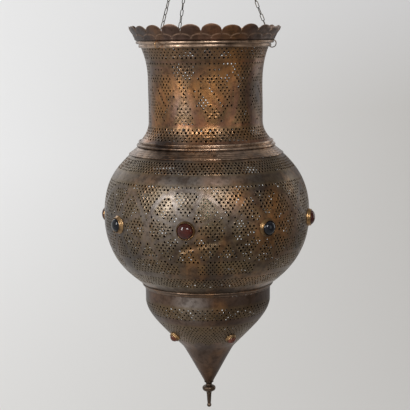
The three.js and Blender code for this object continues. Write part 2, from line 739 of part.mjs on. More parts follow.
// A petal in the next facet in a direction of -1, 0 or 1 each way, pointing back at the facet it is from.
function petal(shell, row, column, along, up) {
  return piercing(shell, row + up, column + along, along, up, PETAL_WIDEST_SHARE);
}

// Six petals that point at the middle of a facet, three on each side.
function sidePetals(shell, row, column) {
  const tools = [];
  for (const along of [-1, 1]) {
    for (const up of [-1, 0, 1]) {
      tools.push(petal(shell, row, column, along, up));
    }
  }
  return tools;
}

// A column of lozenges, one wide at the waist and three wide above and below it.
function hourglass(shell, row, column) {
  const tools = [];
  const reach = (NECK_PANEL_ROWS - 1) / 2;
  for (let rise = -reach; rise <= reach; rise += 1) {
    const side = Math.abs(rise) > HOURGLASS_WAIST_ROWS ? 1 : 0;
    for (let along = -side; along <= side; along += 1) {
      tools.push(piercing(shell, row + rise, column + along));
    }
  }
  return tools;
}

// Hourglasses with a ring of petals between each two, a band of lozenges below and one above.
function neckShell() {
  const shell = { outer: neckOuter, sides: NECK_SIDES, rib: NECK_RIB, firstAzimuth: HOURGLASS_AZIMUTH };
  const bandRow = 1;
  const middleRow = bandRow + (NECK_PANEL_ROWS + 1) / 2;
  const teethRow = bandRow + NECK_PANEL_ROWS + 2;
  const spacing = NECK_SIDES / HOURGLASS_COUNT;
  const tools = [...eyeHoles(), ...band(shell, bandRow, 0), ...band(shell, teethRow, 0)];
  for (let column = 0; column < NECK_SIDES; column += spacing) {
    tools.push(...hourglass(shell, middleRow, column));
    tools.push(...sidePetals(shell, middleRow, column + spacing / 2));
  }
  return cut(turnedNeck(shellProfile(neckOuter, SHELL_WALL)), tools);
}

function neckMoulding() {
  const bottom = mouldingTop - MOULDING_HEIGHT;
  const bore = NECK_FOOT_RADIUS - MOULDING_LAP;
  return turned(
    [
      [bore, bottom],
      [mouldingRadius - MOULDING_EDGE_ROUND, bottom],
      [mouldingRadius, bottom + MOULDING_CREST_BOTTOM],
      [mouldingRadius, bottom + MOULDING_CREST_TOP],
      [NECK_FOOT_RADIUS + MOULDING_TOP_WIDTH, mouldingTop],
      [bore, mouldingTop],
    ],
    SHELL_SIDES,
  );
}

function shoulderRing() {
  const bottom = shoulderRingTop - SHOULDER_HEIGHT;
  const top = shoulderRingTop;
  const footRadius = BELLY_TOP_RADIUS + SHOULDER_PROUD;
  const upperRadius = mouldingRadius - SHOULDER_TOP_INSET;
  const stepRadius = upperRadius + SHOULDER_STEP_WIDTH;
  const step = bottom + SHOULDER_STEP_HEIGHT;
  const lipRadius = NECK_FOOT_RADIUS;
  return turned(
    [
      [footRadius - 2 * SHOULDER_WALL, bottom],
      [footRadius + SHOULDER_PROUD, bottom],
      [footRadius, bottom + SHOULDER_WALL],
      [stepRadius, step],
      [upperRadius, top],
      [lipRadius, top],
      [lipRadius, top - SHOULDER_WALL],
      [upperRadius - SHOULDER_WALL, top - SHOULDER_WALL],
      [stepRadius - SHOULDER_WALL, step - SHOULDER_WALL],
    ],
    SHELL_SIDES,
  );
}

// A rosette round each jewel, a lozenge above and below between rosettes, and a band at each end.
function bellyShell() {
  const shell = { outer: bellyOuter, sides: SHELL_SIDES, rib: BELLY_RIB, firstAzimuth: 0 };
  const topRow = bellyOuter.length - 2;
  const jewelRow = topRow / 2;
  const spacing = SHELL_SIDES / BELLY_JEWEL_COUNT;
  const tools = [...jewelHoles(bellyJewelSet), ...band(shell, 0, 0), ...band(shell, topRow, 0)];
  for (let column = 0; column < SHELL_SIDES; column += spacing) {
    tools.push(...sidePetals(shell, jewelRow, column));
    tools.push(petal(shell, jewelRow, column, 0, 1), petal(shell, jewelRow, column, 0, -1));
    tools.push(piercing(shell, jewelRow - 2, column + spacing / 2));
    tools.push(piercing(shell, jewelRow + 2, column + spacing / 2));
  }
  return cut(turnedShell(shellProfile(bellyOuter, SHELL_WALL)), tools);
}

// The collar laps inside the narrower of the belly's foot and the bowl's rim and stands out past the wider.
function seamCollar() {
  const bottom = collarTop - COLLAR_HEIGHT;
  const bore = Math.min(BELLY_FOOT_RADIUS, BOWL_RADIUS) - COLLAR_LIP_WIDTH;
  const crest = Math.max(BELLY_FOOT_RADIUS, BOWL_RADIUS) + COLLAR_PROUD;
  return turned(
    [
      [bore, bottom],
      [BOWL_RADIUS + COLLAR_EDGE_ROUND, bottom],
      [BOWL_RADIUS + COLLAR_PROUD, bottom + COLLAR_COVE_HEIGHT],
      [crest, bottom + COLLAR_CREST_HEIGHT],
      [crest - COLLAR_EDGE_ROUND, collarTop],
      [bore, collarTop],
    ],
    SHELL_SIDES,
  );
}

function lowerBowl() {
  const floorHeight = BOWL_TIP_HEIGHT + BOWL_TIP_FLOOR;
  const boreRadius = STEM_RADIUS + STEM_FIT;
  const outer = [...bowlOuter];
  const inner = offsetProfile(bowlOuter, -SHELL_WALL).slice(0, -1);
  const [lastRadius, lastHeight] = inner[inner.length - 1];
  const tipRadius = BOWL_TIP_RADIUS - SHELL_WALL;
  const share = (floorHeight - lastHeight) / (BOWL_TIP_HEIGHT - lastHeight);
  const floorRadius = THREE.MathUtils.lerp(lastRadius, tipRadius, share);
  const profile = [
    ...outer,
    [boreRadius, BOWL_TIP_HEIGHT],
    [boreRadius, floorHeight],
    [floorRadius, floorHeight],
    ...inner.reverse(),
  ];
  const shell = { outer: bowlOuter, sides: SHELL_SIDES, rib: BOWL_RIB, firstAzimuth: 0 };
  return cut(turnedShell(profile), [...jewelHoles(bowlJewelSet), ...band(shell, BOWL_BAND_ROW, 0)]);
}

const bellyJewelSet = {
  outer: bellyOuter,
  count: BELLY_JEWEL_COUNT,
  height: BELLY_JEWEL_HEIGHT,
  radius: BELLY_JEWEL_RADIUS,
  standoff: BELLY_JEWEL_STANDOFF,
  bezelWall: BELLY_BEZEL_WALL,
  bezelHeight: BELLY_BEZEL_HEIGHT,
  sides: 12,
};

const bowlJewelSet = {
  outer: bowlOuter,
  count: BOWL_JEWEL_COUNT,
  height: BOWL_JEWEL_HEIGHT,
  radius: BOWL_JEWEL_RADIUS,
  standoff: BOWL_JEWEL_STANDOFF,
  bezelWall: BOWL_BEZEL_WALL,
  bezelHeight: BOWL_BEZEL_HEIGHT,
  sides: 10,
};

// Carries a shape from the Z axis out to a jewel's place at azimuth 0, square to the shell there.
function seated(geometry, set) {
  const tilt = Math.atan(slopeOn(set.outer, set.height));
  geometry.rotateX(Math.PI / 2 + tilt);
  geometry.translate(0, -radiusOn(set.outer, set.height), set.height);
  return closed(geometry);
}

function jewelHoles(set) {
  const taper = [[0, -set.radius], [set.radius - JEWEL_SEAT_WIDTH, -set.radius], [0, PUNCH_LENGTH]];
  const drill = seated(turned(taper, set.sides), set);
  const holes = [];
  for (let i = 0; i < set.count; i += 1) {
    holes.push(placed(drill, (360 * i) / set.count));
  }
  return holes;
}

// The shell filled out to the clearance, which shapes the seats of the jewels and the bezels.
function shellBlock(set) {
  return turnedShell(filledProfile(set.outer, CLEARANCE));
}

function jewel(set) {
  const dome = [[0, -set.radius / 4], [set.radius, -set.radius / 4]];
  const domeBase = set.bezelHeight * JEWEL_GRIP_RATIO;
  const steps = 2;
  for (let i = 0; i <= steps; i += 1) {
    const angle = (i / steps) * (Math.PI / 2);
    const radius = i === steps ? 0 : set.radius * Math.cos(angle);
    dome.push([radius, domeBase + (set.standoff - domeBase) * Math.sin(angle)]);
  }
  return cut(seated(turned(dome, set.sides), set), [shellBlock(set)]);
}

function bezel(set) {
  const inner = set.radius + CLEARANCE;
  const outer = inner + set.bezelWall;
  const bottom = -set.radius / 4;
  const top = set.bezelHeight;
  const tube = [[inner, bottom], [outer, bottom], [outer, top], [inner, top]];
  return cut(seated(turned(tube, set.sides), set), [shellBlock(set)]);
}

function finial() {
  const top = BOWL_TIP_HEIGHT - CLEARANCE;
  const tip = top - FINIAL_LENGTH;
  const boreRadius = STEM_RADIUS + STEM_FIT;
  const boreBottom = top - FINIAL_BORE_DEPTH;
  const neckTop = top - FINIAL_LIP_HEIGHT - FINIAL_COVE_HEIGHT;
  const neckBottom = neckTop - FINIAL_NECK_HEIGHT;
  const knobTop = neckBottom - FINIAL_COVE_HEIGHT;
  const knobBottom = knobTop - FINIAL_KNOB_HEIGHT;
  const undersideBottom = knobBottom - FINIAL_KNOB_UNDERSIDE_HEIGHT;
  const spikeTop = undersideBottom - FINIAL_SPIKE_ROOT_HEIGHT;
  const beadTop = tip + FINIAL_TIP_BEAD_HEIGHT;
  return turned(
    [
      [0, tip],
      [FINIAL_TIP_RADIUS, tip + FINIAL_TIP_ROUND],
      [FINIAL_SPIKE_RADIUS, tip + FINIAL_TIP_BEAD_HEIGHT / 2],
      [FINIAL_SPIKE_NECK_RADIUS, beadTop],
      [FINIAL_SPIKE_RADIUS, spikeTop],
      [FINIAL_KNOB_UNDERSIDE_RADIUS, undersideBottom],
      [FINIAL_KNOB_RADIUS, knobBottom],
      [FINIAL_KNOB_RADIUS, knobTop],
      [FINIAL_NECK_RADIUS, neckBottom],
      [FINIAL_NECK_RADIUS, neckTop],
      [BOWL_TIP_RADIUS, top - FINIAL_LIP_HEIGHT],
      [BOWL_TIP_RADIUS, top],
      [boreRadius, top],
      [boreRadius, boreBottom],
      [0, boreBottom],
    ],
    16,
  );
}

const panFloor = PAN_HEIGHT;
const cupBottom = panFloor + PAN_WALL + CLEARANCE;
const stemTop = cupBottom + CUP_FLOOR / 2;
const cupFloor = cupBottom + CUP_FLOOR;
const candleBottom = cupFloor + CLEARANCE;

function candleStem() {
  const bottom = BOWL_TIP_HEIGHT - FINIAL_BORE_DEPTH;
  return rod(STEM_RADIUS, bottom, stemTop, 12);
}

function dripPan() {
  const bore = STEM_RADIUS + STEM_FIT;
  return turned(
    [
      [bore, panFloor],
      [PAN_FLOOR_RADIUS, panFloor],
      [PAN_RADIUS, panFloor + PAN_RIM_HEIGHT],
      [PAN_RADIUS - PAN_WALL, panFloor + PAN_RIM_HEIGHT],
      [PAN_FLOOR_RADIUS - PAN_WALL / 2, panFloor + PAN_WALL],
      [bore, panFloor + PAN_WALL],
    ],
    24,
  );
}

function candleCup() {
  const boreRadius = STEM_RADIUS + STEM_FIT;
  const socketRadius = CANDLE_RADIUS + CANDLE_FIT;
  const outerRadius = socketRadius + CUP_WALL;
  const boreTop = stemTop + CLEARANCE;
  const rim = cupFloor + CUP_DEPTH;
  return turned(
    [
      [0, boreTop],
      [boreRadius, boreTop],
      [boreRadius, cupBottom],
      [outerRadius, cupBottom],
      [outerRadius, rim - CUP_LIP_HEIGHT],
      [outerRadius + CUP_LIP_WIDTH, rim],
      [socketRadius, rim],
      [socketRadius, cupFloor],
      [0, cupFloor],
    ],
    20,
  );
}

const candleTop = candleBottom + CANDLE_LENGTH;
const wellBottom = candleTop - CANDLE_WELL_DEPTH;

function candle() {
  const boreRadius = WICK_RADIUS + CLEARANCE;
  return turned(
    [
      [0, candleBottom],
      [CANDLE_RADIUS, candleBottom],
      [CANDLE_RADIUS, candleTop - CANDLE_SHOULDER_ROUND],
      [CANDLE_RADIUS - CANDLE_SHOULDER_ROUND, candleTop],
      [boreRadius, wellBottom],
      [boreRadius, wellBottom - WICK_DEPTH],
      [0, wellBottom - WICK_DEPTH],
    ],
    20,
  );
}

function wick() {
  const bottom = wellBottom - WICK_DEPTH + CLEARANCE;
  return rod(WICK_RADIUS, bottom, bottom + WICK_LENGTH, 8);
}

// The fitting that stays on the ceiling, and the hook that turns in it
function addCeilingFitting(parent) {
  addMesh(parent, 'ceiling_plate', ceilingPlate(), materials.steel);
  addMesh(parent, 'canopy_cup', canopyCup(), materials.darkBrass);
  addMesh(parent, 'canopy_screw_right', sideScrew(1, 0), materials.steel);
  addMesh(parent, 'canopy_screw_left', sideScrew(-1, 0), materials.steel);
  addMesh(parent, 'ceiling_hook', hookBody(), materials.steel);
  const nut = hexNut(HOOK_NUT_RADIUS, HOOK_NUT_HEIGHT, HOOK_WIRE_RADIUS);
  addMesh(parent, 'hook_nut', nut, materials.steel).position.z = canopyFloorTop + CLEARANCE;
}

function addChains(parent) {
  addMesh(parent, 'hang_ring', hangRing(), materials.steel);
  CHAIN_AZIMUTHS.forEach((azimuth, i) => {
    const ringOffset = (i - 1) * CHAIN_RING_SPACING;
    addMesh(parent, `chain_${i + 1}`, chain(azimuth, ringOffset), materials.steel);
  });
}

function addJewels(parent, set, label, firstAzimuth, glasses) {
  const jewelShape = jewel(set);
  const bezelShape = bezel(set);
  for (let i = 0; i < set.count; i += 1) {
    const turn = radians(firstAzimuth + (360 * i) / set.count);
    addMesh(parent, `${label}_jewel_${i + 1}`, jewelShape, glasses[i % glasses.length]).rotation.z = turn;
    addMesh(parent, `${label}_bezel_${i + 1}`, bezelShape, materials.paleBrass).rotation.z = turn;
  }
}

function addLampBody(parent) {
  addMesh(parent, 'crown', crown(), materials.darkBrass);
  addMesh(parent, 'crown_bead', crownBead(), materials.brass);
  addMesh(parent, 'neck_shell', neckShell(), materials.brass);
  addMesh(parent, 'neck_moulding', neckMoulding(), materials.paleBrass);
  addMesh(parent, 'shoulder_ring', shoulderRing(), materials.brass);
  addMesh(parent, 'belly_shell', bellyShell(), materials.brass).rotation.z = radians(BELLY_JEWEL_AZIMUTH);
  addMesh(parent, 'seam_collar', seamCollar(), materials.brass);
  addMesh(parent, 'lower_bowl', lowerBowl(), materials.brass).rotation.z = radians(BOWL_JEWEL_AZIMUTH);
  addMesh(parent, 'finial', finial(), materials.darkBrass);
  const eye = eyeRing(EYE_WIRE_RADIUS);
  CHAIN_AZIMUTHS.forEach((azimuth, i) => {
    addMesh(parent, `eye_ring_${i + 1}`, eye, materials.paleBrass).rotation.z = radians(azimuth);
  });
  addJewels(parent, bellyJewelSet, 'belly', BELLY_JEWEL_AZIMUTH, [materials.redGlass, materials.blueGlass]);
  addJewels(parent, bowlJewelSet, 'bowl', BOWL_JEWEL_AZIMUTH, [materials.amberGlass, materials.blueGlass]);
}

function addCandleHolder(parent) {
  addMesh(parent, 'candle_stem', candleStem(), materials.brass);
  const nut = hexNut(STEM_NUT_RADIUS, STEM_NUT_HEIGHT, STEM_RADIUS);
  addMesh(parent, 'stem_nut', nut, materials.steel).position.z = BOWL_TIP_HEIGHT + BOWL_TIP_FLOOR + CLEARANCE;
  const panNut = hexNut(STEM_NUT_RADIUS, STEM_NUT_HEIGHT, STEM_RADIUS);
  addMesh(parent, 'pan_nut', panNut, materials.steel).position.z = panFloor - CLEARANCE - STEM_NUT_HEIGHT;
  addMesh(parent, 'drip_pan', dripPan(), materials.brass);
  addMesh(parent, 'candle_cup', candleCup(), materials.brass);
  addMesh(parent, 'candle', candle(), materials.wax);
  addMesh(parent, 'wick', wick(), materials.wick);
}

const pendantLamp = new THREE.Group();
const lampBody = new THREE.Group();
lampBody.position.z = lampHeight;
pendantLamp.add(lampBody);
addCeilingFitting(pendantLamp);
addChains(pendantLamp);
addLampBody(lampBody);
addCandleHolder(lampBody);

export default pendantLamp;
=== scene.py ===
# %% [markdown]
# # A pierced brass pendant lamp, dressed for its portrait
# The CAD model gives every part its true size and place, with only a coarse grid of openings where
# the real lamp is finely pierced. This lesson loads that model, then lays the worked surfaces over
# it: sheet metal cut by hand into thousands of lozenges, a crown of petals, rolled beads, glass
# jewels and chains. Every shape is a formula on a grid of numbers, said in words by its function.

import bpy
import numpy as np
from mathutils import Matrix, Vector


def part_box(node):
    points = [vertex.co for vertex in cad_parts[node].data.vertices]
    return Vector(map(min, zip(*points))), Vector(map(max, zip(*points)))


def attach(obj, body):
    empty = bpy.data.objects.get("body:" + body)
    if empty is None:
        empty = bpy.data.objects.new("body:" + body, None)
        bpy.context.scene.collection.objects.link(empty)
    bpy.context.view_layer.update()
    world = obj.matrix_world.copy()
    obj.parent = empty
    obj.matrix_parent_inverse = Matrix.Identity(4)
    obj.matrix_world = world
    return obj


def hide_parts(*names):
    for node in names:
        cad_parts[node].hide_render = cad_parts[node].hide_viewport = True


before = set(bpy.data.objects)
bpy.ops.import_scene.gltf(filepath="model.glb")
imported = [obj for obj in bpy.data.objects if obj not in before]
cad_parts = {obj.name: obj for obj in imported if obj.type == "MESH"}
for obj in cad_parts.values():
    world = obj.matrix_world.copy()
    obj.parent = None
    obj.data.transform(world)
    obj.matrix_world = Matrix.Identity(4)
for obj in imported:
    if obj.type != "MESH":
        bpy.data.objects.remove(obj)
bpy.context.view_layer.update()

# %% [markdown]
# ## The camera
# A studio photographer stood well back with a long lens, level with the crown, and tipped the
# camera down a little. A long lens could be guessed by eye, but the ellipses of the rims give it:
# the crown shows as a straight line, so it is at eye level, and the seam lower down is an open
# ellipse. The lamp in the picture also leans by under a degree, which is put into the camera.

# %% Place the camera
EYE_DISTANCE = 2.625
EYE_PITCH = np.radians(7.74)
EYE_ROLL = np.radians(-0.7)
AIM_ACROSS = -0.0038
LENS_LENGTH, FILM_WIDTH = 109.76, 36.0
CROWN_TO_BELLY = 0.340
crown_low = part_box("crown")[0]
BELLY_LEVEL = crown_low[2] - CROWN_TO_BELLY

camera_data = bpy.data.cameras.new("portrait_lens")
camera_data.sensor_width = FILM_WIDTH
camera_data.lens = LENS_LENGTH
camera = bpy.data.objects.new("portrait_camera", camera_data)
bpy.context.collection.objects.link(camera)
eye = (
    AIM_ACROSS,
    -EYE_DISTANCE * np.cos(EYE_PITCH),
    BELLY_LEVEL + EYE_DISTANCE * np.sin(EYE_PITCH),
)
tilt = Matrix.Rotation(np.pi / 2 - EYE_PITCH, 4, "X") @ Matrix.Rotation(EYE_ROLL, 4, "Z")
camera.matrix_world = Matrix.Translation(eye) @ tilt
bpy.context.scene.camera = camera
print("camera at", [round(float(v), 3) for v in eye])

# %% [markdown]
# ## From arrays to a mesh
# Blender can build a mesh from Python lists, vertex by vertex, but that is slow for a pierced
# shell. Here whole arrays go in at once with foreach_set. Faces of three and of four corners are
# kept in separate arrays, which is why the helper takes several.

# %% Mesh helpers
MM = 0.001
DEGREE = np.pi / 180
SHARP_EDGE = 40 * DEGREE


def mesh_from(name, points, *faces):
    """A mesh from points in metres and arrays of faces. It is shaded smooth, but stays sharp
    where two faces meet at more than the sharp angle."""
    mesh = bpy.data.meshes.new(name)
    points = np.asarray(points, dtype=np.float32)
    faces = [np.asarray(f, dtype=np.int32) for f in faces if len(f)]
    corners = np.concatenate([f.ravel() for f in faces])
    sizes = np.concatenate([np.full(len(f), f.shape[1]) for f in faces])
    starts = np.concatenate([[0], np.cumsum(sizes)[:-1]]).astype(np.int32)
    mesh.vertices.add(len(points))
    mesh.vertices.foreach_set("co", points.ravel())
    mesh.loops.add(len(corners))
    mesh.loops.foreach_set("vertex_index", corners)
    mesh.polygons.add(len(sizes))
    mesh.polygons.foreach_set("loop_start", starts)
    mesh.update(calc_edges=True)
    mesh.validate()
    mesh.shade_smooth()
    mesh.set_sharp_from_angle(angle=SHARP_EDGE)
    return mesh


def point_layer(mesh, name, values):
    """Stores one number per vertex, which a material reads by name."""
    layer = mesh.attributes.new(name, "FLOAT", "POINT")
    layer.data.foreach_set("value", np.asarray(values, dtype=np.float32))


def add_piece(mesh, body, slot, material, *nodes):
    """Puts a finished mesh on a CAD body in place of the CAD nodes that it stands for."""
    piece = bpy.data.objects.new(mesh.name, mesh)
    bpy.context.collection.objects.link(piece)
    mesh.materials.append(material)
    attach(piece, body)
    if nodes:
        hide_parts(*nodes)
    mesh.calc_loop_triangles()
    print(f"{mesh.name}: {len(mesh.loop_triangles)} triangles")


def add_shape(name, shape, body, slot, material, *nodes):
    """The same for a shape: points in millimetres, quads and triangles."""
    add_piece(mesh_from(name, shape[0] * MM, *shape[1:]), body, slot, material, *nodes)


# %% [markdown]
# ## Surfaces from two parameters
# Nearly everything here is turned: a profile of radius and height carried round an axis. The
# first parameter runs along the profile, the second round the turn. Where the profile meets the
# axis, the ring there shrinks to a single point with a fan of triangles, so that the form closes.

# %% Grids and turned forms
NO_TRIANGLES = np.empty((0, 3), int)


def grid_quads(rows, columns, wrap_rows=False):
    """Quads between neighbouring points of a grid that closes on itself round its columns."""
    row = np.arange(rows if wrap_rows else rows - 1)[:, None]
    column = np.arange(columns)[None, :]
    here = row * columns
    above = (row + 1) % rows * columns
    beside = (column + 1) % columns
    quad = [here + column, here + beside, above + beside, above + column]
    return np.stack(np.broadcast_arrays(*quad), -1).reshape(-1, 4)


def end_fans(count, sides):
    """Two fans of triangles for a grid of count points: from its first ring to point number
    count, and from its last ring to the point after that."""
    around = np.arange(sides)
    beside = (around + 1) % sides
    last = count - sides
    first_fan = np.stack([np.full(sides, count), beside, around], -1)
    last_fan = np.stack([np.full(sides, count + 1), last + around, last + beside], -1)
    return np.concatenate([first_fan, last_fan])


def eased(points, rounds, steps=4, closed=False):
    """Rounds the corners of a profile: each corner becomes a parabola that starts and ends at most
    its round away from the corner, and never past the middle of a side."""
    points = np.asarray(points, dtype=float)
    rounds = np.broadcast_to(np.asarray(rounds, dtype=float), (len(points),))[:, None]
    before = np.roll(points, 1, axis=0) - points
    after = np.roll(points, -1, axis=0) - points

    def share(side):
        length = np.maximum(np.linalg.norm(side, axis=1, keepdims=True), 1e-9)
        return np.minimum(rounds / length, 0.48)

    start = points + before * share(before)
    end = points + after * share(after)
    t = np.linspace(0, 1, steps + 1)[None, :, None]
    curve = (1 - t) ** 2 * start[:, None] + 2 * t * (1 - t) * points[:, None] + t**2 * end[:, None]
    if closed:
        return curve.reshape(-1, 2)
    return np.concatenate([points[:1], curve[1:-1].reshape(-1, 2), points[-1:]])


def turned(profile, sides, closed=False):
    """Points and faces of a form turned about Z: x = r sin a, y = -r cos a, z = height, for each
    profile point and each angle a. An open profile starts and ends on the axis."""
    profile = np.asarray(profile, dtype=float)
    angle = np.arange(sides) * (2 * np.pi / sides)
    ring = profile if closed else profile[1:-1]
    x = ring[:, :1] * np.sin(angle)
    y = -ring[:, :1] * np.cos(angle)
    z = np.broadcast_to(ring[:, 1:], x.shape)
    points = np.stack([x, y, z], -1).reshape(-1, 3)
    quads = grid_quads(len(ring), sides, wrap_rows=closed)
    if closed:
        return points, quads, NO_TRIANGLES
    poles = [[0, 0, profile[0, 1]], [0, 0, profile[-1, 1]]]
    return np.concatenate([points, poles]), quads, end_fans(len(points), sides)


# %% [markdown]
# ## Wires
# A wire is the same idea with a small circle carried along a path. Blender's curves with a bevel
# would make one too, but as arrays a link can be copied down a chain, and an end closes with the
# same fans. Every wire here is bent in one plane, whose normal keeps its rings from twisting.

# %% Wires and joined shapes


def wire(path, flat_normal, radius, sides, closed):
    """Points and faces of a round wire whose path lies in one plane. Each ring of the wire is
    c + radius (n cos a + m sin a), with n across the path in the plane and m the plane's normal."""
    path = np.asarray(path, dtype=float)
    ahead = np.roll(path, -1, axis=0) - np.roll(path, 1, axis=0)
    if not closed:
        ahead[0] = path[1] - path[0]
        ahead[-1] = path[-1] - path[-2]
    ahead /= np.linalg.norm(ahead, axis=1, keepdims=True)
    normal = np.broadcast_to(np.asarray(flat_normal, dtype=float), path.shape)
    across = np.cross(ahead, normal)
    angle = np.arange(sides) * (2 * np.pi / sides)
    cos = np.cos(angle)[None, :, None]
    sin = np.sin(angle)[None, :, None]
    circle = across[:, None] * cos + normal[:, None] * sin
    radius = np.broadcast_to(radius, (len(path),))[:, None, None]
    points = (path[:, None] + radius * circle).reshape(-1, 3)
    quads = grid_quads(len(path), sides, wrap_rows=closed)
    if closed:
        return points, quads, NO_TRIANGLES
    return np.concatenate([points, path[:1], path[-1:]]), quads, end_fans(len(points), sides)


def gathered(*shapes):
    """Joins several (points, quads, triangles) shapes into one."""
    points, quads, fans, count = [], [], [], 0
    for shape_points, shape_quads, shape_fans in shapes:
        points.append(shape_points)
        quads.append(np.asarray(shape_quads) + count)
        fans.append(np.asarray(shape_fans).reshape(-1, 3) + count)
        count += len(shape_points)
    return np.concatenate(points), np.concatenate(quads), np.concatenate(fans)


def raised(shape, height):
    """Lifts a shape by a height in millimetres."""
    points, quads, fans = shape
    return points + [0, 0, height], quads, fans


LAMP = BELLY_LEVEL / MM
print("the belly's widest level is", round(LAMP, 1), "mm below the ceiling")

# %% [markdown]
# ## Aged brass
# Brass left to darken turns brown, and stays gold where it is rubbed; a painted grey sheen lies
# over parts of it. One flat brown would look like plastic, so browns, the grey sheen and gold are
# mixed by slow noise, the roughness follows the same noise, and dents and fine grain come from
# bump. The cut sheet also carries numbers on its points that say where its ribs are, so that they
# catch light by bump and carry a painted glint in their colour.

# %% Material helpers


def linear(red, green, blue):
    """An sRGB colour, 0 to 255, as the linear numbers that shaders use."""
    c = np.array([red, green, blue]) / 255
    return (*np.where(c <= 0.04045, c / 12.92, ((c + 0.055) / 1.055) ** 2.4).tolist(), 1.0)


class Recipe:
    """A material under construction: each call adds a node and wires its inputs."""

    def __init__(self, name):
        self.material = bpy.data.materials.new(name)
        self.material.use_nodes = True
        self.tree = self.material.node_tree
        self.tree.nodes.clear()
        self.place = self.add("TexCoord").outputs["Object"]
        self.shader = self.add("BsdfPrincipled")
        output = self.add("OutputMaterial")
        self.tree.links.new(self.shader.outputs["BSDF"], output.inputs["Surface"])

    def add(self, kind, **settings):
        node = self.tree.nodes.new("ShaderNode" + kind)
        for key, value in settings.items():
            setattr(node, key, value)
        return node

    def feed(self, socket, value):
        if isinstance(value, bpy.types.NodeSocket):
            self.tree.links.new(value, socket)
        else:
            socket.default_value = value

    def noise(self, scale, detail=4.0, roughness=0.55, stretch=None):
        source = self.place
        if stretch:
            mapping = self.add("Mapping")
            self.feed(mapping.inputs["Vector"], source)
            mapping.inputs["Scale"].default_value = stretch
            source = mapping.outputs["Vector"]
        node = self.add("TexNoise")
        self.feed(node.inputs["Vector"], source)
        node.inputs["Scale"].default_value = scale
        node.inputs["Detail"].default_value = detail
        node.inputs["Roughness"].default_value = roughness
        return node.outputs["Fac"]

    def ramp(self, value, low, high, bottom=0.0, top=1.0):
        node = self.add("MapRange")
        self.feed(node.inputs["Value"], value)
        ends = {"From Min": low, "From Max": high, "To Min": bottom, "To Max": top}
        for name, number in ends.items():
            node.inputs[name].default_value = number
        return node.outputs["Result"]

    def math(self, operation, first, second=0.0):
        node = self.add("Math", operation=operation)
        self.feed(node.inputs[0], first)
        self.feed(node.inputs[1], second)
        return node.outputs["Value"]

    def mix(self, share, first, second):
        node = self.add("Mix", data_type="RGBA")
        self.feed(node.inputs["Factor"], share)
        self.feed(node.inputs[6], first)
        self.feed(node.inputs[7], second)
        return node.outputs[2]

    def read(self, name):
        return self.add("Attribute", attribute_name=name).outputs["Fac"]

    def bump(self, height, strength, distance, onto=None):
        node = self.add("Bump")
        node.inputs["Strength"].default_value = strength
        node.inputs["Distance"].default_value = distance
        self.feed(node.inputs["Height"], height)
        if onto is not None:
            self.feed(node.inputs["Normal"], onto)
        return node.outputs["Normal"]

    def finish(self, **sockets):
        for key, value in sockets.items():
            self.feed(self.shader.inputs[key.replace("_", " ")], value)
        return self.material


# %% [markdown]
# ## Stains, painted sheen and painted shade
# A patina has a few large stains, which noise alone would put anywhere. The same soft patches also
# lay painted sheen and painted shade. Each one here is a soft ball round a spot, measured in Object
# coordinates, and a noise breaks up its edge.

# %% Stains, painted sheen and painted shade at given spots


def near(recipe, spot, reach):
    """A soft patch: 1 at a spot of the lamp in millimetres, 0 from the reach outwards."""
    node = recipe.add("VectorMath", operation="DISTANCE")
    recipe.feed(node.inputs[0], recipe.place)
    node.inputs[1].default_value = (spot[0] * MM, spot[1] * MM, (spot[2] + LAMP) * MM)
    return recipe.ramp(node.outputs["Value"], reach * MM, 0.2 * reach * MM)


def stain_sheen_and_shade(recipe, colour, spots, noise, start, shares, patch_colour):
    """Lays a patch of one colour, which the caller makes a stain, painted sheen and painted shade
    in turn, over the colour at each (spot, reach, share), broken up by a noise. The share is
    multiplied by the first of two numbers where the noise is low, by the second where high."""
    for spot, reach, share in spots:
        broken = recipe.ramp(noise, start, 0.6, share * shares[0], share * shares[1])
        patch = recipe.math("MULTIPLY", near(recipe, spot, reach), broken)
        colour = recipe.mix(patch, colour, patch_colour)
    return colour


# %% [markdown]
# ## The brass recipe
# Each layer is mixed over the last: brown, painted grey sheen, gold, the stains with painted sheen
# and painted shade, a dark mottling and, on the cut sheet, bright ribs outside, partly a painted
# glint, and painted shade inside. A painted picture of brass would be quicker, but it would stretch
# where the sheet curves, and a recipe doesn't.

# %% Mix the brass
DEEP = linear(46, 33, 25)
# A grey that is painted sheen: mixed in by noise, laid at the grey spots and on the ribs.
PAINTED_GREY_SHEEN = linear(130, 123, 118)
GOLD = linear(184, 126, 68)
COPPER = linear(156, 92, 58)
OLIVE = linear(104, 88, 58)
# Painted shade down the left edges, and darker patches at the other dark spots.
DARK_PATCH_AND_SHADE = linear(58, 56, 56)
# Near-black painted shade for the inner face of the cut sheet.
INNER_SHADE = linear(22, 18, 15)
RUBBED = linear(158, 130, 108)


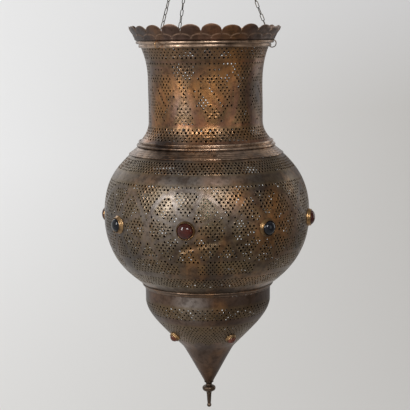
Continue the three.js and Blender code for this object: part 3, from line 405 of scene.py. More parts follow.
def aged_brass(name, brown, grey, gold, rough, spots={}, cut=False, rim=False):
    """Brown over dark brown, with shares of painted grey sheen and gold, and at given spots warm
    stains, more painted grey sheen and painted shade. Cut sheet is greener, with bright ribs
    between the holes that are partly rubbed and partly a painted glint, and matt black painted
    shade on its inner face. A rim is rubbed pale along its edges."""
    r = Recipe(name)
    slow = r.noise(7.0, 5.0, 0.6)
    slower = r.noise(3.2, 3.0, 0.5)
    streak = r.noise(16.0, 6.0, 0.62, stretch=(1.0, 1.0, 0.35))
    mottle = r.noise(84.0, 5.0, 0.65)
    fine = r.noise(230.0, 3.0, 0.6)
    colour = r.mix(r.ramp(slow, 0.34, 0.6), DEEP, brown)
    colour = r.mix(r.math("MULTIPLY", r.ramp(slower, 0.42, 0.66), grey), colour, PAINTED_GREY_SHEEN)
    colour = r.mix(r.math("MULTIPLY", r.ramp(streak, 0.5, 0.72), gold), colour, GOLD)
    warm = r.mix(r.ramp(slow, 0.42, 0.6), GOLD, COPPER)
    # Painted grey sheen at the grey spots, warm stains at the warm ones, and painted shade down the
    # left edges with darker patches at the dark spots.
    colour = stain_sheen_and_shade(r, colour, spots.get("grey", []), slow, 0.3, (0.5, 1.0), PAINTED_GREY_SHEEN)
    colour = stain_sheen_and_shade(r, colour, spots.get("warm", []), streak, 0.36, (0.3, 1.0), warm)
    colour = stain_sheen_and_shade(r, colour, spots.get("dark", []), slow, 0.3, (1.0, 0.6), DARK_PATCH_AND_SHADE)
    colour = r.mix(r.ramp(mottle, 0.46, 0.62, 0.0, 0.55), colour, DEEP)
    normal = r.bump(r.noise(60.0, 4.0, 0.6), 0.45, 0.0014)
    normal = r.bump(fine, 0.35, 0.0003, normal)
    gloss = r.ramp(r.math("ADD", slow, streak), 0.75, 1.25, rough + 0.12, rough - 0.1)
    if cut:
        lattice = r.read("lattice")
        ribs = r.math("MULTIPLY", r.read("ribs"), lattice)
        worn_and_glint = r.math("MULTIPLY", ribs, r.ramp(fine, 0.35, 0.65, 0.1, 1.0))
        green = r.math("MULTIPLY", lattice, r.ramp(slow, 0.36, 0.6, 0.15, 0.45))
        colour = r.mix(green, colour, OLIVE)
        # The ribs turn bright: partly rubbed metal, partly a painted glint.
        bright = r.mix(r.ramp(streak, 0.4, 0.6), PAINTED_GREY_SHEEN, GOLD)
        colour = r.mix(r.math("MULTIPLY", worn_and_glint, 0.6), colour, bright)
        # Painted shade: the inner face is mixed to near black and made matt.
        inside = r.read("inside")
        colour = r.mix(inside, colour, INNER_SHADE)
        gloss = r.math("MAXIMUM", gloss, r.math("MULTIPLY", inside, 0.8))
        normal = r.bump(ribs, 0.7, 0.0009, normal)
    if rim:
        rubbed = r.math("MULTIPLY", r.read("rim"), r.ramp(fine, 0.3, 0.6, 0.3, 0.8))
        colour = r.mix(rubbed, colour, RUBBED)
    speck = r.ramp(fine, 0.6, 0.76, 0.0, 0.45)
    colour = r.mix(speck, colour, DEEP)
    return r.finish(Base_Color=colour, Metallic=0.9, Roughness=gloss, Normal=normal)


# %% [markdown]
# ## Where the stains, sheen and shade lie
# Noise alone puts its clouds anywhere, but the eye knows this lamp by a few large ones: gold on
# the neck, a painted grey sheen left of the middle jewel, painted shade down the left edge. So each
# shell has a list of spots, with a place on the lamp and a reach in millimetres, and how strongly
# it
# shows: warm stains, painted grey sheen and painted shade.

# %% Brass in its shades
NECK_SPOTS = {
    "warm": [
        ((-70, -90, 250), 60, 0.4), ((5, -118, 240), 60, 0.4), ((45, -110, 290), 80, 0.45),
        ((-20, -125, 160), 40, 0.5),
    ],
    "grey": [((-48, -108, 215), 40, 0.45), ((-40, -128, 138), 40, 0.5)],
    "dark": [
        ((-120, -30, 300), 70, 0.4), ((100, -60, 230), 90, 0.5), ((0, -125, 300), 50, 0.3),
        ((-20, -122, 182), 30, 0.3),
    ],
}
BELLY_SPOTS = {
    "warm": [
        ((135, -155, -20), 85, 0.6), ((60, -195, 40), 50, 0.4), ((10, -190, 60), 35, 0.3),
        ((30, -165, 118), 70, 0.3),
    ],
    "grey": [
        ((-62, -205, 18), 80, 0.75), ((-120, -170, 20), 110, 0.5), ((10, -205, 68), 70, 0.5),
        ((60, -205, 5), 40, 0.4), ((-40, -150, 122), 80, 0.4), ((90, -140, 112), 60, 0.25),
    ],
    "dark": [
        ((-205, -70, -20), 125, 0.85), ((-108, -183, 32), 42, 0.8), ((104, -185, 62), 50, 0.6),
        ((-60, -180, 92), 60, 0.5), ((-150, -140, -80), 70, 0.5),
    ],
}
BOWL_SPOTS = {
    "warm": [((22, -130, -190), 20, 0.3), ((-118, -60, -185), 34, 0.4)],
    "grey": [((-35, -126, -188), 50, 0.7)],
    "dark": [
        ((-125, -40, -200), 70, 0.8), ((0, -100, -330), 90, 0.3), ((90, -90, -200), 60, 0.4),
    ],
}
CROWN_SPOTS = {
    "warm": [((40, -150, 350), 70, 0.4)],
    "grey": [((118, -95, 350), 60, 0.3)],
    "dark": [((-135, -75, 350), 95, 0.9)],
}
neck_brass = aged_brass("neck_brass", linear(118, 82, 60), 0.3, 0.5, 0.34, NECK_SPOTS, cut=True)
belly_brass = aged_brass("belly_brass", linear(100, 85, 68), 0.45, 0.3, 0.38, BELLY_SPOTS, cut=True)
bowl_brass = aged_brass("bowl_brass", linear(82, 60, 45), 0.2, 0.16, 0.38, BOWL_SPOTS, cut=True)
plain_brass = aged_brass("plain_brass", linear(104, 82, 64), 0.35, 0.35, 0.36)
turned_brass = aged_brass("turned_brass", linear(174, 146, 122), 0.4, 0.3, 0.3)
crown_brass = aged_brass("crown_brass", linear(82, 60, 50), 0.2, 0.25, 0.44, CROWN_SPOTS, rim=True)
dark_brass = aged_brass("dark_brass", linear(76, 62, 50), 0.3, 0.2, 0.4)
bright_brass = aged_brass("bright_brass", linear(172, 136, 90), 0.2, 0.6, 0.28)
print("aged brass in", len([m for m in bpy.data.materials if m.name.endswith("_brass")]), "shades")

# %% [markdown]
# ## The other finishes
# The chains are blackened brass wire, the jewels are thick coloured glass with a polished skin,
# and the candle is ivory wax that lets a little light in. The nuts and the plate are zinc grey
# steel. Glass could be fully clear, but jewels this thick and dark show hardly anything behind
# them, so eight or nine tenths of the light stays in the colour.

# %% Glass, wire, wax and steel


def jewel_glass(name, colour, through):
    """Dark glass with a slow swirl in its colour and a faintly wavy skin."""
    r = Recipe(name)
    swirl = r.noise(90.0, 3.0, 0.5)
    tint = r.mix(r.ramp(swirl, 0.35, 0.7), colour, tuple(0.45 * c for c in colour[:3]) + (1.0,))
    seed = r.bump(r.noise(240.0, 2.0, 0.5), 0.12, 0.0004)
    return r.finish(
        Base_Color=tint, Roughness=0.06, IOR=1.52, Specular_IOR_Level=0.25,
        Transmission_Weight=through, Normal=seed,
    )


def plain_metal(name, first, second, rough, scale):
    """Two shades in patches, the second one duller."""
    r = Recipe(name)
    patches = r.noise(scale, 4.0, 0.6)
    colour = r.mix(r.ramp(patches, 0.4, 0.65), first, second)
    gloss = r.ramp(patches, 0.35, 0.7, rough - 0.08, rough + 0.14)
    skin = r.bump(patches, 0.3, 0.0004)
    return r.finish(Base_Color=colour, Metallic=0.92, Roughness=gloss, Normal=skin)


def candle_wax():
    """Ivory with faint clouds, which light enters by about a centimetre."""
    r = Recipe("ivory_wax")
    cloud = r.noise(45.0, 3.0, 0.5)
    colour = r.mix(cloud, linear(236, 224, 196), linear(222, 204, 166))
    return r.finish(
        Base_Color=colour, Roughness=0.42, Subsurface_Weight=0.25,
        Subsurface_Radius=(0.012, 0.007, 0.004), Normal=r.bump(cloud, 0.3, 0.0008),
    )


def wick_cotton():
    """Fine slanting bands for the twisted strands, nearly black to grey."""
    r = Recipe("charred_cotton")
    twist = r.add("TexWave", bands_direction="DIAGONAL")
    r.feed(twist.inputs["Vector"], r.place)
    twist.inputs["Scale"].default_value = 600.0
    colour = r.mix(twist.outputs["Fac"], linear(34, 29, 25), linear(92, 82, 70))
    strands = r.bump(twist.outputs["Fac"], 0.5, 0.0003)
    return r.finish(Base_Color=colour, Roughness=0.9, Normal=strands)


red_glass = jewel_glass("red_glass", linear(64, 21, 13), 0.1)
blue_glass = jewel_glass("blue_glass", linear(10, 12, 20), 0.1)
amber_glass = jewel_glass("amber_glass", linear(104, 52, 32), 0.2)
chain_metal = plain_metal("blackened_wire", linear(58, 54, 48), linear(96, 86, 70), 0.4, 120.0)
steel = plain_metal("zinc_steel", linear(120, 118, 114), linear(84, 80, 76), 0.42, 90.0)
wax = candle_wax()
cotton = wick_cotton()
print("finishes:", [m.name for m in bpy.data.materials][-7:])

# %% [markdown]
# ## Profiles of the three shells
# The neck, the belly and the bowl were hammered and spun from sheet. Each outline is one smooth
# function of height, the same as in the CAD model, so the cut sheet lies on the CAD solid. The
# neck is a straight waist that flares as a power of the distance, the belly is two power curves
# that meet at its widest level, and the bowl is a Bezier shoulder with a straight cone under it.

# %% Profile functions
NECK_TOP, NECK_FOOT = 339.7, 138.0
NECK_TOP_FLARE, NECK_FOOT_FLARE = 84.0, 42.0
NECK_TOP_RADIUS, NECK_WAIST_RADIUS, NECK_FOOT_RADIUS = 136.5, 118.6, 136.0
NECK_POWER = 2.3
BELLY_TOP, BELLY_WIDEST, BELLY_FOOT = 109.6, -8.0, -161.0
BELLY_TOP_RADIUS, BELLY_RADIUS, BELLY_FOOT_RADIUS = 159.5, 214.0, 137.0
BELLY_UP_POWER, BELLY_DOWN_POWER = 2.35, 2.7
BOWL_TOP, BOWL_SHOULDER, BOWL_WAIST, BOWL_TIP = -171.6, -196.0, -300.0, -379.0
BOWL_RADIUS, BOWL_WAIST_RADIUS, BOWL_TIP_RADIUS = 131.5, 53.0, 9.4
SHEET = 0.9


def neck_radius(z):
    """Waist radius, plus a flare to the top and a flare to the foot that each grow as a power."""
    up = np.clip((z - NECK_TOP + NECK_TOP_FLARE) / NECK_TOP_FLARE, 0, None)
    down = np.clip((NECK_FOOT + NECK_FOOT_FLARE - z) / NECK_FOOT_FLARE, 0, None)
    top = (NECK_TOP_RADIUS - NECK_WAIST_RADIUS) * up**NECK_POWER
    foot = (NECK_FOOT_RADIUS - NECK_WAIST_RADIUS) * down**NECK_POWER
    return NECK_WAIST_RADIUS + top + foot


def belly_radius(z):
    """The widest radius, less a power of the distance above it and another of that below."""
    up = np.clip((z - BELLY_WIDEST) / (BELLY_TOP - BELLY_WIDEST), 0, None)
    down = np.clip((BELLY_WIDEST - z) / (BELLY_WIDEST - BELLY_FOOT), 0, None)
    top = (BELLY_RADIUS - BELLY_TOP_RADIUS) * up**BELLY_UP_POWER
    foot = (BELLY_RADIUS - BELLY_FOOT_RADIUS) * down**BELLY_DOWN_POWER
    return BELLY_RADIUS - top - foot


def bowl_radius(z):
    """A drum, a cubic Bezier shoulder read off at each height, and a straight cone."""
    t = np.linspace(0, 1, 400)
    weights = np.stack([(1 - t) ** 3, 3 * t * (1 - t) ** 2, 3 * t**2 * (1 - t), t**3])
    radii = np.array([BOWL_RADIUS, BOWL_RADIUS, 91.2, BOWL_WAIST_RADIUS]) @ weights
    heights = np.array([BOWL_SHOULDER, BOWL_SHOULDER - 29, BOWL_WAIST + 38, BOWL_WAIST]) @ weights
    radii = np.concatenate([[BOWL_RADIUS], radii, [BOWL_TIP_RADIUS]])
    heights = np.concatenate([[BOWL_TOP], heights, [BOWL_TIP]])
    return np.interp(-z, -heights, radii)


def levels(radius_at, low, high, pitch):
    """Heights that lie one pitch apart along the profile, from low to high."""
    z = np.linspace(low, high, 3000)
    step = np.hypot(np.diff(radius_at(z)), np.diff(z))
    along = np.concatenate([[0], np.cumsum(step)])
    count = max(1, int(round(along[-1] / pitch)))
    return np.interp(np.linspace(0, along[-1], count + 1), along, z)


belly_lines = levels(belly_radius, BELLY_FOOT, BELLY_TOP, 6.05)
neck_lines = levels(neck_radius, NECK_FOOT, NECK_TOP, 6.0)
print("rows of holes: belly", len(belly_lines) - 1, "neck", len(neck_lines) - 1)

# %% [markdown]
# ## Cutting the sheet
# The cutter worked row by row with a small chisel: each hole is a lozenge, and each row is shifted
# by half a hole, like bricks. So the sheet here is a wall of bricks. Every brick has six points
# on its edge, which it shares with its neighbours, and a cut brick has a six-sided hole in it.
# A boolean for each hole would take hours. Here one mask says which bricks are cut, and the front
# is then copied inwards by the thickness of the sheet and closed along every open edge.

# %% The brick wall
SIZE_SPREAD, PLACE_SPREAD, MOST_SPREAD = 0.16, 0.06, 1.5


def closed_sheet(front, back, faces):
    """Front faces, the same faces turned over on the back, and a wall along each edge that only
    one front face has."""
    count = len(front)
    start = faces.ravel()
    end = np.roll(faces, -1, axis=1).ravel()
    open_edge = ~np.isin(start * count + end, end * count + start)
    a, b = start[open_edge], end[open_edge]
    walls = np.stack([b, a, a + count, b + count], -1)
    return np.concatenate([front, back]), np.concatenate([faces, faces[:, ::-1] + count, walls])


def cut_sheet(
    name, columns, lines, radius_at, is_cut, is_gone, hole, push, seed, turn, share_at=None
):
    """A pierced shell. Row j, column i is a brick centred on angle (i + 1/2 + j/2) of a turn over
    columns, between two lines of height. is_cut and is_gone are masks of (degrees, height), push
    moves the sheet out at a place, and share_at makes the holes there smaller."""
    rng = np.random.default_rng(seed)
    rows = len(lines) - 1
    half = 2 * columns
    line_angle = np.arange(half) * (360 / half) + turn
    row = np.arange(rows)[:, None]
    column = np.arange(columns)[None, :]
    shift = row % 2
    middle_z = ((lines[:-1] + lines[1:]) / 2)[:, None]
    middle_angle = (column + 0.5 + 0.5 * shift) * (360 / columns) + turn
    cut = is_cut(middle_angle, middle_z + 0 * middle_angle)
    gone = is_gone(middle_angle, middle_z + 0 * middle_angle)

    first = 2 * column + shift
    low = [(row * half + (first + k) % half) for k in range(3)]
    high = [((row + 1) * half + (first + k) % half) for k in range(3)]
    outline = np.stack([low[0], low[1], low[2], high[2], high[1], high[0]], -1)

    angles = np.tile(line_angle, rows + 1)
    heights = np.repeat(lines, half)
    wide = 180 / columns
    tall = ((lines[1:] - lines[:-1]) / 2)[:, None]
    grow = 1 + SIZE_SPREAD * rng.standard_normal(cut.shape).clip(-MOST_SPREAD, MOST_SPREAD)
    if share_at is not None:
        grow = grow * share_at(middle_angle, middle_z + 0 * middle_angle)
    slip = rng.standard_normal((2, *cut.shape)).clip(-MOST_SPREAD, MOST_SPREAD) * PLACE_SPREAD
    narrow = np.array([-0.62, 0, 0.62, 0.62, 0, -0.62])
    upright = np.array([-0.42, -1, -0.42, 0.42, 1, 0.42])
    across = hole[0] * grow[..., None] * narrow + slip[0][..., None]
    along = hole[1] * grow[..., None] * upright + slip[1][..., None]
    hole_angle = (middle_angle[..., None] + wide * across)[cut]
    hole_z = (middle_z[..., None] + tall[..., None] * along)[cut]
    hole_index = (rows + 1) * half + np.arange(6 * int(cut.sum())).reshape(-1, 6)

    solid = outline[~cut & ~gone]
    rim = outline[cut]
    faces = [solid[:, [0, 1, 4, 5]], solid[:, [1, 2, 3, 4]]]
    for k in range(6):
        n = (k + 1) % 6
        faces.append(np.stack([rim[:, k], rim[:, n], hole_index[:, n], hole_index[:, k]], -1))
    faces = np.concatenate(faces)

    angles = np.concatenate([angles, hole_angle.ravel()])
    heights = np.concatenate([heights, hole_z.ravel()])
    radii = radius_at(heights)
    slope = radius_at(heights + 0.5) - radius_at(heights - 0.5)
    outward = np.stack([np.ones_like(slope), -slope], -1) / np.hypot(1, slope)[:, None]
    lift = push(angles, heights)
    turn_by = np.radians(angles)

    def shell(depth):
        r = radii + (lift - depth) * outward[:, 0]
        z = heights + (lift - depth) * outward[:, 1]
        return np.stack([r * np.sin(turn_by), -r * np.cos(turn_by), z + LAMP], -1) * MM

    used = np.unique(faces)
    renumber = np.zeros(len(angles), dtype=np.int64)
    renumber[used] = np.arange(len(used))
    points, all_faces = closed_sheet(shell(0.0)[used], shell(SHEET)[used], renumber[faces])
    mesh = mesh_from(name, points, all_faces)

    row_at = np.interp(heights, lines, np.arange(rows + 1.0))
    column_at = (angles - turn) / (360 / columns)
    one = np.cos(2 * np.pi * (column_at - row_at / 2 - 0.25))
    other = np.cos(2 * np.pi * (column_at + row_at / 2 - 0.75))
    ribs = np.maximum(-one, -other).clip(0, 1)
    lattice = is_cut(angles, heights).astype(float)
    point_layer(mesh, "ribs", np.tile(ribs[used], 2))
    point_layer(mesh, "lattice", np.tile(lattice[used], 2))
    point_layer(mesh, "inside", np.repeat([0.0, 1.0], len(used)))
    print(f"{name}: {int(cut.sum())} holes in {cut.size} bricks")
    return mesh


def wrapped(angle, centre, step):
    """The angle from the nearest of a ring of centres, one every step."""
    return (angle - centre + step / 2) % step - step / 2


# %% [markdown]
# ## The belly's pattern
# Each jewel is the middle of a rosette: eight petals of fine holes, parted by plain straps that
# fan out from it, with a plain arch round them. Between the arches the cutter filled triangles,
# above and below, and ran a band of holes round the top and the foot. All of this is a set of
# tests on the distance r and the direction a from the nearest jewel, measured along the sheet.
# Placing each hole by hand would follow the picture more closely, but tests make eight equal
# rosettes in a few lines.

# %% Cut the belly
JEWELS = -11.4
JEWEL_LEVEL = -22.0
MM_PER_DEGREE = 3.7
ROSETTE_FROM, ROSETTE_TO, ARCH_TO = 25, 76, 85
STRAP_HALF_WIDTH = 4.2
JEWEL_HOLE = 11


def from_jewel(angle, z):
    """Distances across and up the sheet from the nearest jewel, in millimetres."""
    across = np.radians(wrapped(angle, JEWELS, 45)) * belly_radius(z)
    up = (z - JEWEL_LEVEL) * np.interp(z, [-161, -80, 0, 60, 110], [1.36, 1.1, 1.0, 1.04, 1.2])
    return across, up


def belly_cut(angle, z):
    """Top band, foot band, petals clear of the straps, and triangles clear of the arches."""
    across, up = from_jewel(angle, z)
    r = np.hypot(across, up)
    direction = np.degrees(np.arctan2(up, across))
    strap = np.abs(r * np.sin(np.radians(wrapped(direction, 22.5, 45))))
    bands = ((z > 82) & (z < 106)) | ((z > -146) & (z < -125))
    petals = (r > ROSETTE_FROM) & (r < ROSETTE_TO) & (strap > STRAP_HALF_WIDTH)
    upper = (r > ARCH_TO) & (z > -6) & (z < 64)
    middle = np.abs(wrapped(angle, JEWELS + 22.5, 45)) * MM_PER_DEGREE
    lower = (r > ARCH_TO) & (z < -48) & (z > -114) & (np.abs(z + 80) > 4) & (middle < 62)
    return bands | petals | upper | lower


def under_jewel(angle, z):
    """The sheet is open behind each glass jewel."""
    across, up = from_jewel(angle, z)
    return np.hypot(across, up) < JEWEL_HOLE


def belly_push(angle, z):
    """A knock in the sheet: it goes in above a slanting crease and stands proud below it. Slow
    waves of a few tenths of a millimetre keep the reflections from looking machined."""
    crease = np.interp(wrapped(angle, 0, 360), [-24, -16, 8, 18], [-84, -69, -46, -41])
    away = z - crease
    window = np.clip(1 - (np.abs(wrapped(angle, -5, 360)) / 23) ** 2, 0, None) ** 1.2
    knock = -3.4 * np.exp(-(((away - 5) / 6.0) ** 2)) + 1.1 * np.exp(-(((away + 2) / 3.6) ** 2))
    a = np.radians(angle)
    waves = np.sin(5 * a + z / 37) * np.cos(7 * a - z / 29) + 0.6 * np.sin(13 * a - z / 17)
    return window * knock + 0.45 * waves


def rear_share(angle, z):
    """The holes shrink to three quarters round the back. That is a guess, which lets less of the
    pale room show through the front holes."""
    away = np.clip((np.abs(wrapped(angle, 0, 360)) - 90) / 40, 0, 1)
    return 1 - 0.25 * away + 0 * z


def belly_share(angle, z):
    """The dense band round the top has the largest holes."""
    return np.where(z > 82, 1.12, 1.0) * rear_share(angle, z)


belly = cut_sheet(
    "belly_sheet", 152, belly_lines, belly_radius, belly_cut, under_jewel, hole=(0.7, 0.78),
    push=belly_push, seed=4, turn=JEWELS, share_at=belly_share,
)
add_piece(belly, "lamp", "brass_aged", belly_brass, "belly_shell")

# %% [markdown]
# ## The neck's pattern
# Six hourglasses of holes stand round the waist, and between them hang six oval medallions with a
# plain leaf in each. A dense band runs round the foot, a band of small triangles under the beads,
# and one row of fine holes marks where the flare begins. A painted mask could say which bricks
# are cut, but formulas of angle and height need no picture and are changed by one number.

# %% Cut the neck
HOURGLASSES = -21.6
MEDALLIONS = 8.4
WAIST_LEVEL, MEDALLION_LEVEL = 234, 233
OVAL_WIDE, OVAL_TALL = 41, 54
LEAF_WIDE, LEAF_LONG, VEIN_HALF_WIDTH = 15, 34, 3


def neck_cut(angle, z):
    """Foot band, hourglasses whose half width grows away from the waist, medallions with a leaf
    left plain, a row of fine holes and a band of triangles."""
    across = np.radians(wrapped(angle, HOURGLASSES, 60)) * neck_radius(z)
    above = np.clip((z - WAIST_LEVEL) / 55, 0, None)
    below = np.clip((WAIST_LEVEL - z) / 50, 0, None)
    hourglass = (np.abs(across) < 7 + 21 * above**1.5 + 15 * below**1.3) & (z > 178) & (z < 292)
    side = np.radians(wrapped(angle, MEDALLIONS, 60)) * neck_radius(z)
    rise = z - MEDALLION_LEVEL
    oval = (side / OVAL_WIDE) ** 2 + (rise / OVAL_TALL) ** 2
    lean = side * 0.8 + rise * 0.6
    length = -side * 0.6 + rise * 0.8
    leaf = (lean / LEAF_WIDE) ** 2 + (length / LEAF_LONG) ** 2
    veins = np.abs(lean) < VEIN_HALF_WIDTH
    medallion = (oval < 0.74) & ((leaf > 1) | veins)
    outline = (oval > 0.86) & (oval < 1.0) & ~hourglass
    foot = (z > 143) & (z < 170)
    row = (z > 294) & (z < 300)
    top_band = (z > 304) & (z < 329)
    return foot | hourglass | medallion | outline | row | top_band


def neck_share(angle, z):
    """Large holes in the foot band and in the triangles of the top band, small ones between."""
    teeth = np.abs(wrapped(angle, 3, 15)) < 5.6 * (329 - z) / 24 + 1.6
    top_band = np.where(teeth, 1.15, 0.8)
    return np.where(z > 304, top_band, np.where(z < 171, 1.2, 1.0)) * rear_share(angle, z)


def nothing(angle, z):
    """No brick is left out."""
    return np.zeros(np.shape(angle), dtype=bool)


def neck_push(angle, z):
    """Slow waves of a few tenths of a millimetre."""
    a = np.radians(angle)
    return 0.35 * np.sin(4 * a + z / 31) * np.cos(9 * a - z / 23)


neck = cut_sheet(
    "neck_sheet", 84, neck_lines, neck_radius, neck_cut, nothing, hole=(0.62, 0.74),
    push=neck_push, seed=7, turn=HOURGLASSES, share_at=neck_share,
)
add_piece(neck, "lamp", "brass_aged", neck_brass, "neck_shell")

# %% [markdown]
# ## The bowl's pattern
# The bowl has two bands of holes and a plain cone. Its bricks get narrower towards the tip,
# because the same number of them goes round a smaller turn. Dropping a column now and then would
# keep them equal, but its neighbours would no longer meet, and the cone itself has no holes.

# %% Cut the bowl
BOWL_JEWELS = -56.4
BOWL_JEWEL_LEVEL = -270.0
BOWL_BREAK = -292.0
upper_lines = levels(bowl_radius, BOWL_BREAK, BOWL_TOP, 5.8)
cone_lines = levels(bowl_radius, BOWL_TIP, BOWL_BREAK, 9.0)
bowl_lines = np.concatenate([cone_lines[:-1], upper_lines])


def bowl_cut(angle, z):
    """Two bands, the lower one broken into leaves by a wave."""
    upper = (z > -220) & (z < -193)
    wave = 8 * np.abs(np.sin(np.radians(6 * angle)))
    lower = (z > -286 + wave) & (z < -236)
    return upper | lower


def under_bowl_jewel(angle, z):
    """The sheet is open behind each small jewel too."""
    across = np.radians(wrapped(angle, BOWL_JEWELS, 90)) * bowl_radius(z)
    return np.hypot(across, (z - BOWL_JEWEL_LEVEL) * 1.4) < 6


def bowl_push(angle, z):
    """Slow waves that die out towards the tip, where the sheet is stiff."""
    a = np.radians(angle)
    return 0.4 * np.sin(3 * a + z / 27) * np.cos(5 * a - z / 19) * np.clip((z + 360) / 60, 0, 1)


bowl = cut_sheet(
    "bowl_sheet", 84, bowl_lines, bowl_radius, bowl_cut, under_bowl_jewel, hole=(0.58, 0.64),
    push=bowl_push, seed=11, turn=BOWL_JEWELS,
)
add_piece(bowl, "lamp", "brass_aged", bowl_brass, "lower_bowl")

# %% [markdown]
# ## The crown
# Twenty-three petals were cut along the top of a flared band and bent upright at their tips. Each
# petal is slightly domed, and a second row of arcs, like scales, is hammered between them. The
# surface runs up the band with one parameter and round it with the other: the top edge is a half
# circle over each petal's width. The petals are bent down by 6 mm at the right, by 2.5 mm at the
# left and by 7 mm at the back, where the picture hardly shows them and the bend is a guess.
# Petals made one by one would have to be joined, so one surface gets a shaped top edge.

# %% Shape the crown
CROWN_BASE, CROWN_RISE, CROWN_FOOT_RADIUS = 340.0, 35.0, 140.6
PETALS, PETAL_DEPTH, PETAL_START = 23, 14.0, -3.0
CROWN_SHEET = 1.1


def smooth(value):
    """0 up to 0, 1 from 1 on, and the S curve 3v^2 - 2v^3 between."""
    v = np.clip(value, 0, 1)
    return v * v * (3 - 2 * v)


def crown_surface(columns_each=20, rows=32):
    """Height is base + share x (edge height). The radius steps out over the bead, grows on an S
    curve and is upright at the tips. A petal swells by 1 mm in its middle, and below an arc
    between two petals the sheet stands 1.2 mm proud."""
    columns = PETALS * columns_each
    angle = PETAL_START + np.arange(columns) * (360 / columns)
    phase = (np.arange(columns) / columns_each) % 1
    by_hand = np.random.default_rng(3).normal(0, 0.6, PETALS)[np.arange(columns) // columns_each]
    arch = np.sqrt(np.clip(1 - (2 * phase - 1) ** 2, 0, None))
    edge = CROWN_RISE - PETAL_DEPTH + (PETAL_DEPTH + by_hand) * arch
    rise = np.linspace(0, 1, rows)[:, None] * edge
    between = (phase + 0.5) % 1
    arc = 8.5 + 8.0 * np.sqrt(np.clip(1 - (2 * between - 1) ** 2, 0, None))
    proud = 1.2 * smooth((rise - 2.6) / 2.4) / (1 + np.exp((rise - arc) / 0.45))
    swell = 1.0 * (1 - (2 * phase - 1) ** 2) * (rise / CROWN_RISE) ** 1.5
    right = np.exp(-((wrapped(angle, 75, 360) / 20) ** 2))
    left = np.exp(-((wrapped(angle, -78, 360) / 26) ** 2))
    rear = smooth((np.abs(wrapped(angle, 0, 360)) - 108) / 30)
    bent = (6.0 * right + 2.5 * left + 7.0 * rear) * (rise / CROWN_RISE) ** 1.5
    wave = 0.5 * np.sin(np.radians(angle) * 8 + 1) * rise / CROWN_RISE
    radius = CROWN_FOOT_RADIUS + 2.9 * smooth((rise - 2.6) / 3.4) + 11.4 * smooth((rise - 5) / 27)
    radius = radius + proud + swell + wave + 0.2 * bent
    height = CROWN_BASE + rise - bent
    along = np.stack([np.gradient(radius, axis=0), np.gradient(height, axis=0)])
    along /= np.hypot(*along)
    turn = np.radians(angle)[None, :]

    def layer(depth):
        r = radius - depth * along[1]
        z = height + depth * along[0]
        return np.stack([r * np.sin(turn), -r * np.cos(turn), z + LAMP], -1).reshape(-1, 3) * MM

    edges = np.exp(-(((rise - edge) / 1.3) ** 2)) + 0.8 * np.exp(-(((rise - arc) / 0.9) ** 2))
    points, faces = closed_sheet(layer(0.0), layer(CROWN_SHEET), grid_quads(rows, columns))
    return points, faces, np.tile(edges.clip(0, 1).ravel(), 2)


crown_points, crown_faces, crown_edges = crown_surface()
crown = mesh_from("crown_petals", crown_points, crown_faces)
point_layer(crown, "rim", crown_edges)
add_piece(crown, "lamp", "brass_dark", crown_brass, "crown")

# %% [markdown]
# ## Rolled beads and rings
# Between the shells sit rolled rings that hide the joints. Each one is a closed outline carried
# round the axis: up the outside and down the inside, with its corners eased. A torus would do
# for a plain bead, but these have lips and steps, so each one gets an outline of its own.

# %% Turn the rings


def turned_piece(name, outline, rounds, steps, sides, closed, height, *facts):
    """A profile of (radius, height) in millimetres, eased, turned, raised and added."""
    shape = turned(eased(outline, rounds, steps, closed=closed), sides, closed=closed)
    add_shape(name, raised(shape, height), *facts)


bead = [
    (133.2, 329.8), (135.2, 329.0), (136.8, 330.4), (137.2, 332.8), (136.4, 335.2), (137.0, 336.4),
    (140.0, 336.6), (142.2, 337.8), (142.8, 340.0), (142.3, 342.2), (141.2, 342.7), (140.9, 339.7),
    (137.0, 339.7),
]
moulding = [
    (137.2, 125.8), (142.6, 125.8), (144.4, 127.2), (144.7, 129.2), (143.4, 131.2), (139.8, 132.4),
    (138.9, 133.4), (140.0, 134.4), (140.6, 136.2), (139.7, 138.1), (137.2, 138.5), (137.0, 137.8),
]
shoulder = [
    (156.6, 110.0), (160.9, 109.9), (161.0, 111.4), (158.6, 112.9), (157.2, 113.0), (156.4, 114.6),
    (153.6, 116.4), (152.4, 116.6), (151.6, 118.2), (149.2, 119.9), (148.0, 120.1), (147.2, 121.6),
    (145.2, 123.4), (143.0, 125.3), (136.2, 125.3), (136.2, 123.9), (141.6, 123.6), (148.0, 117.6),
]
collar = [
    (127.2, -171.2), (132.4, -171.2), (133.4, -169.6), (133.4, -167.4), (135.2, -166.0),
    (137.2, -165.2), (138.0, -163.6), (137.4, -161.8), (135.4, -161.3), (127.2, -161.3),
]
for name, outline, rounds, material, slot, node in (
    ("crown_double_bead", bead, 0.9, turned_brass, "brass_aged", "crown_bead"),
    ("neck_ring", moulding, 1.1, turned_brass, "brass_bright", "neck_moulding"),
    ("shoulder_skirt", shoulder, 0.7, turned_brass, "brass_aged", "shoulder_ring"),
    ("belly_seam", collar, 0.9, plain_brass, "brass_aged", "seam_collar"),
):
    turned_piece(name, outline, rounds, 5, 256, True, LAMP, "lamp", slot, material, node)

# %% [markdown]
# ## Jewels and their bezels
# A jewel is a cabochon: a dome of thick glass in a short brass collar with a rolled lip. Both are
# turned upright on the Z axis and then carried to the shell by a frame of three directions: out
# of the sheet, up the sheet and along it. A ball sunk in the sheet would be simpler, but it has
# no flat back and would show from inside.

# %% Set the jewels
UP = np.array([0, 0, 1.0])


def outwards(azimuth):
    """The direction straight out from the axis at an azimuth in degrees from the front."""
    turn = np.radians(azimuth)
    return np.array([np.sin(turn), -np.cos(turn), 0.0])


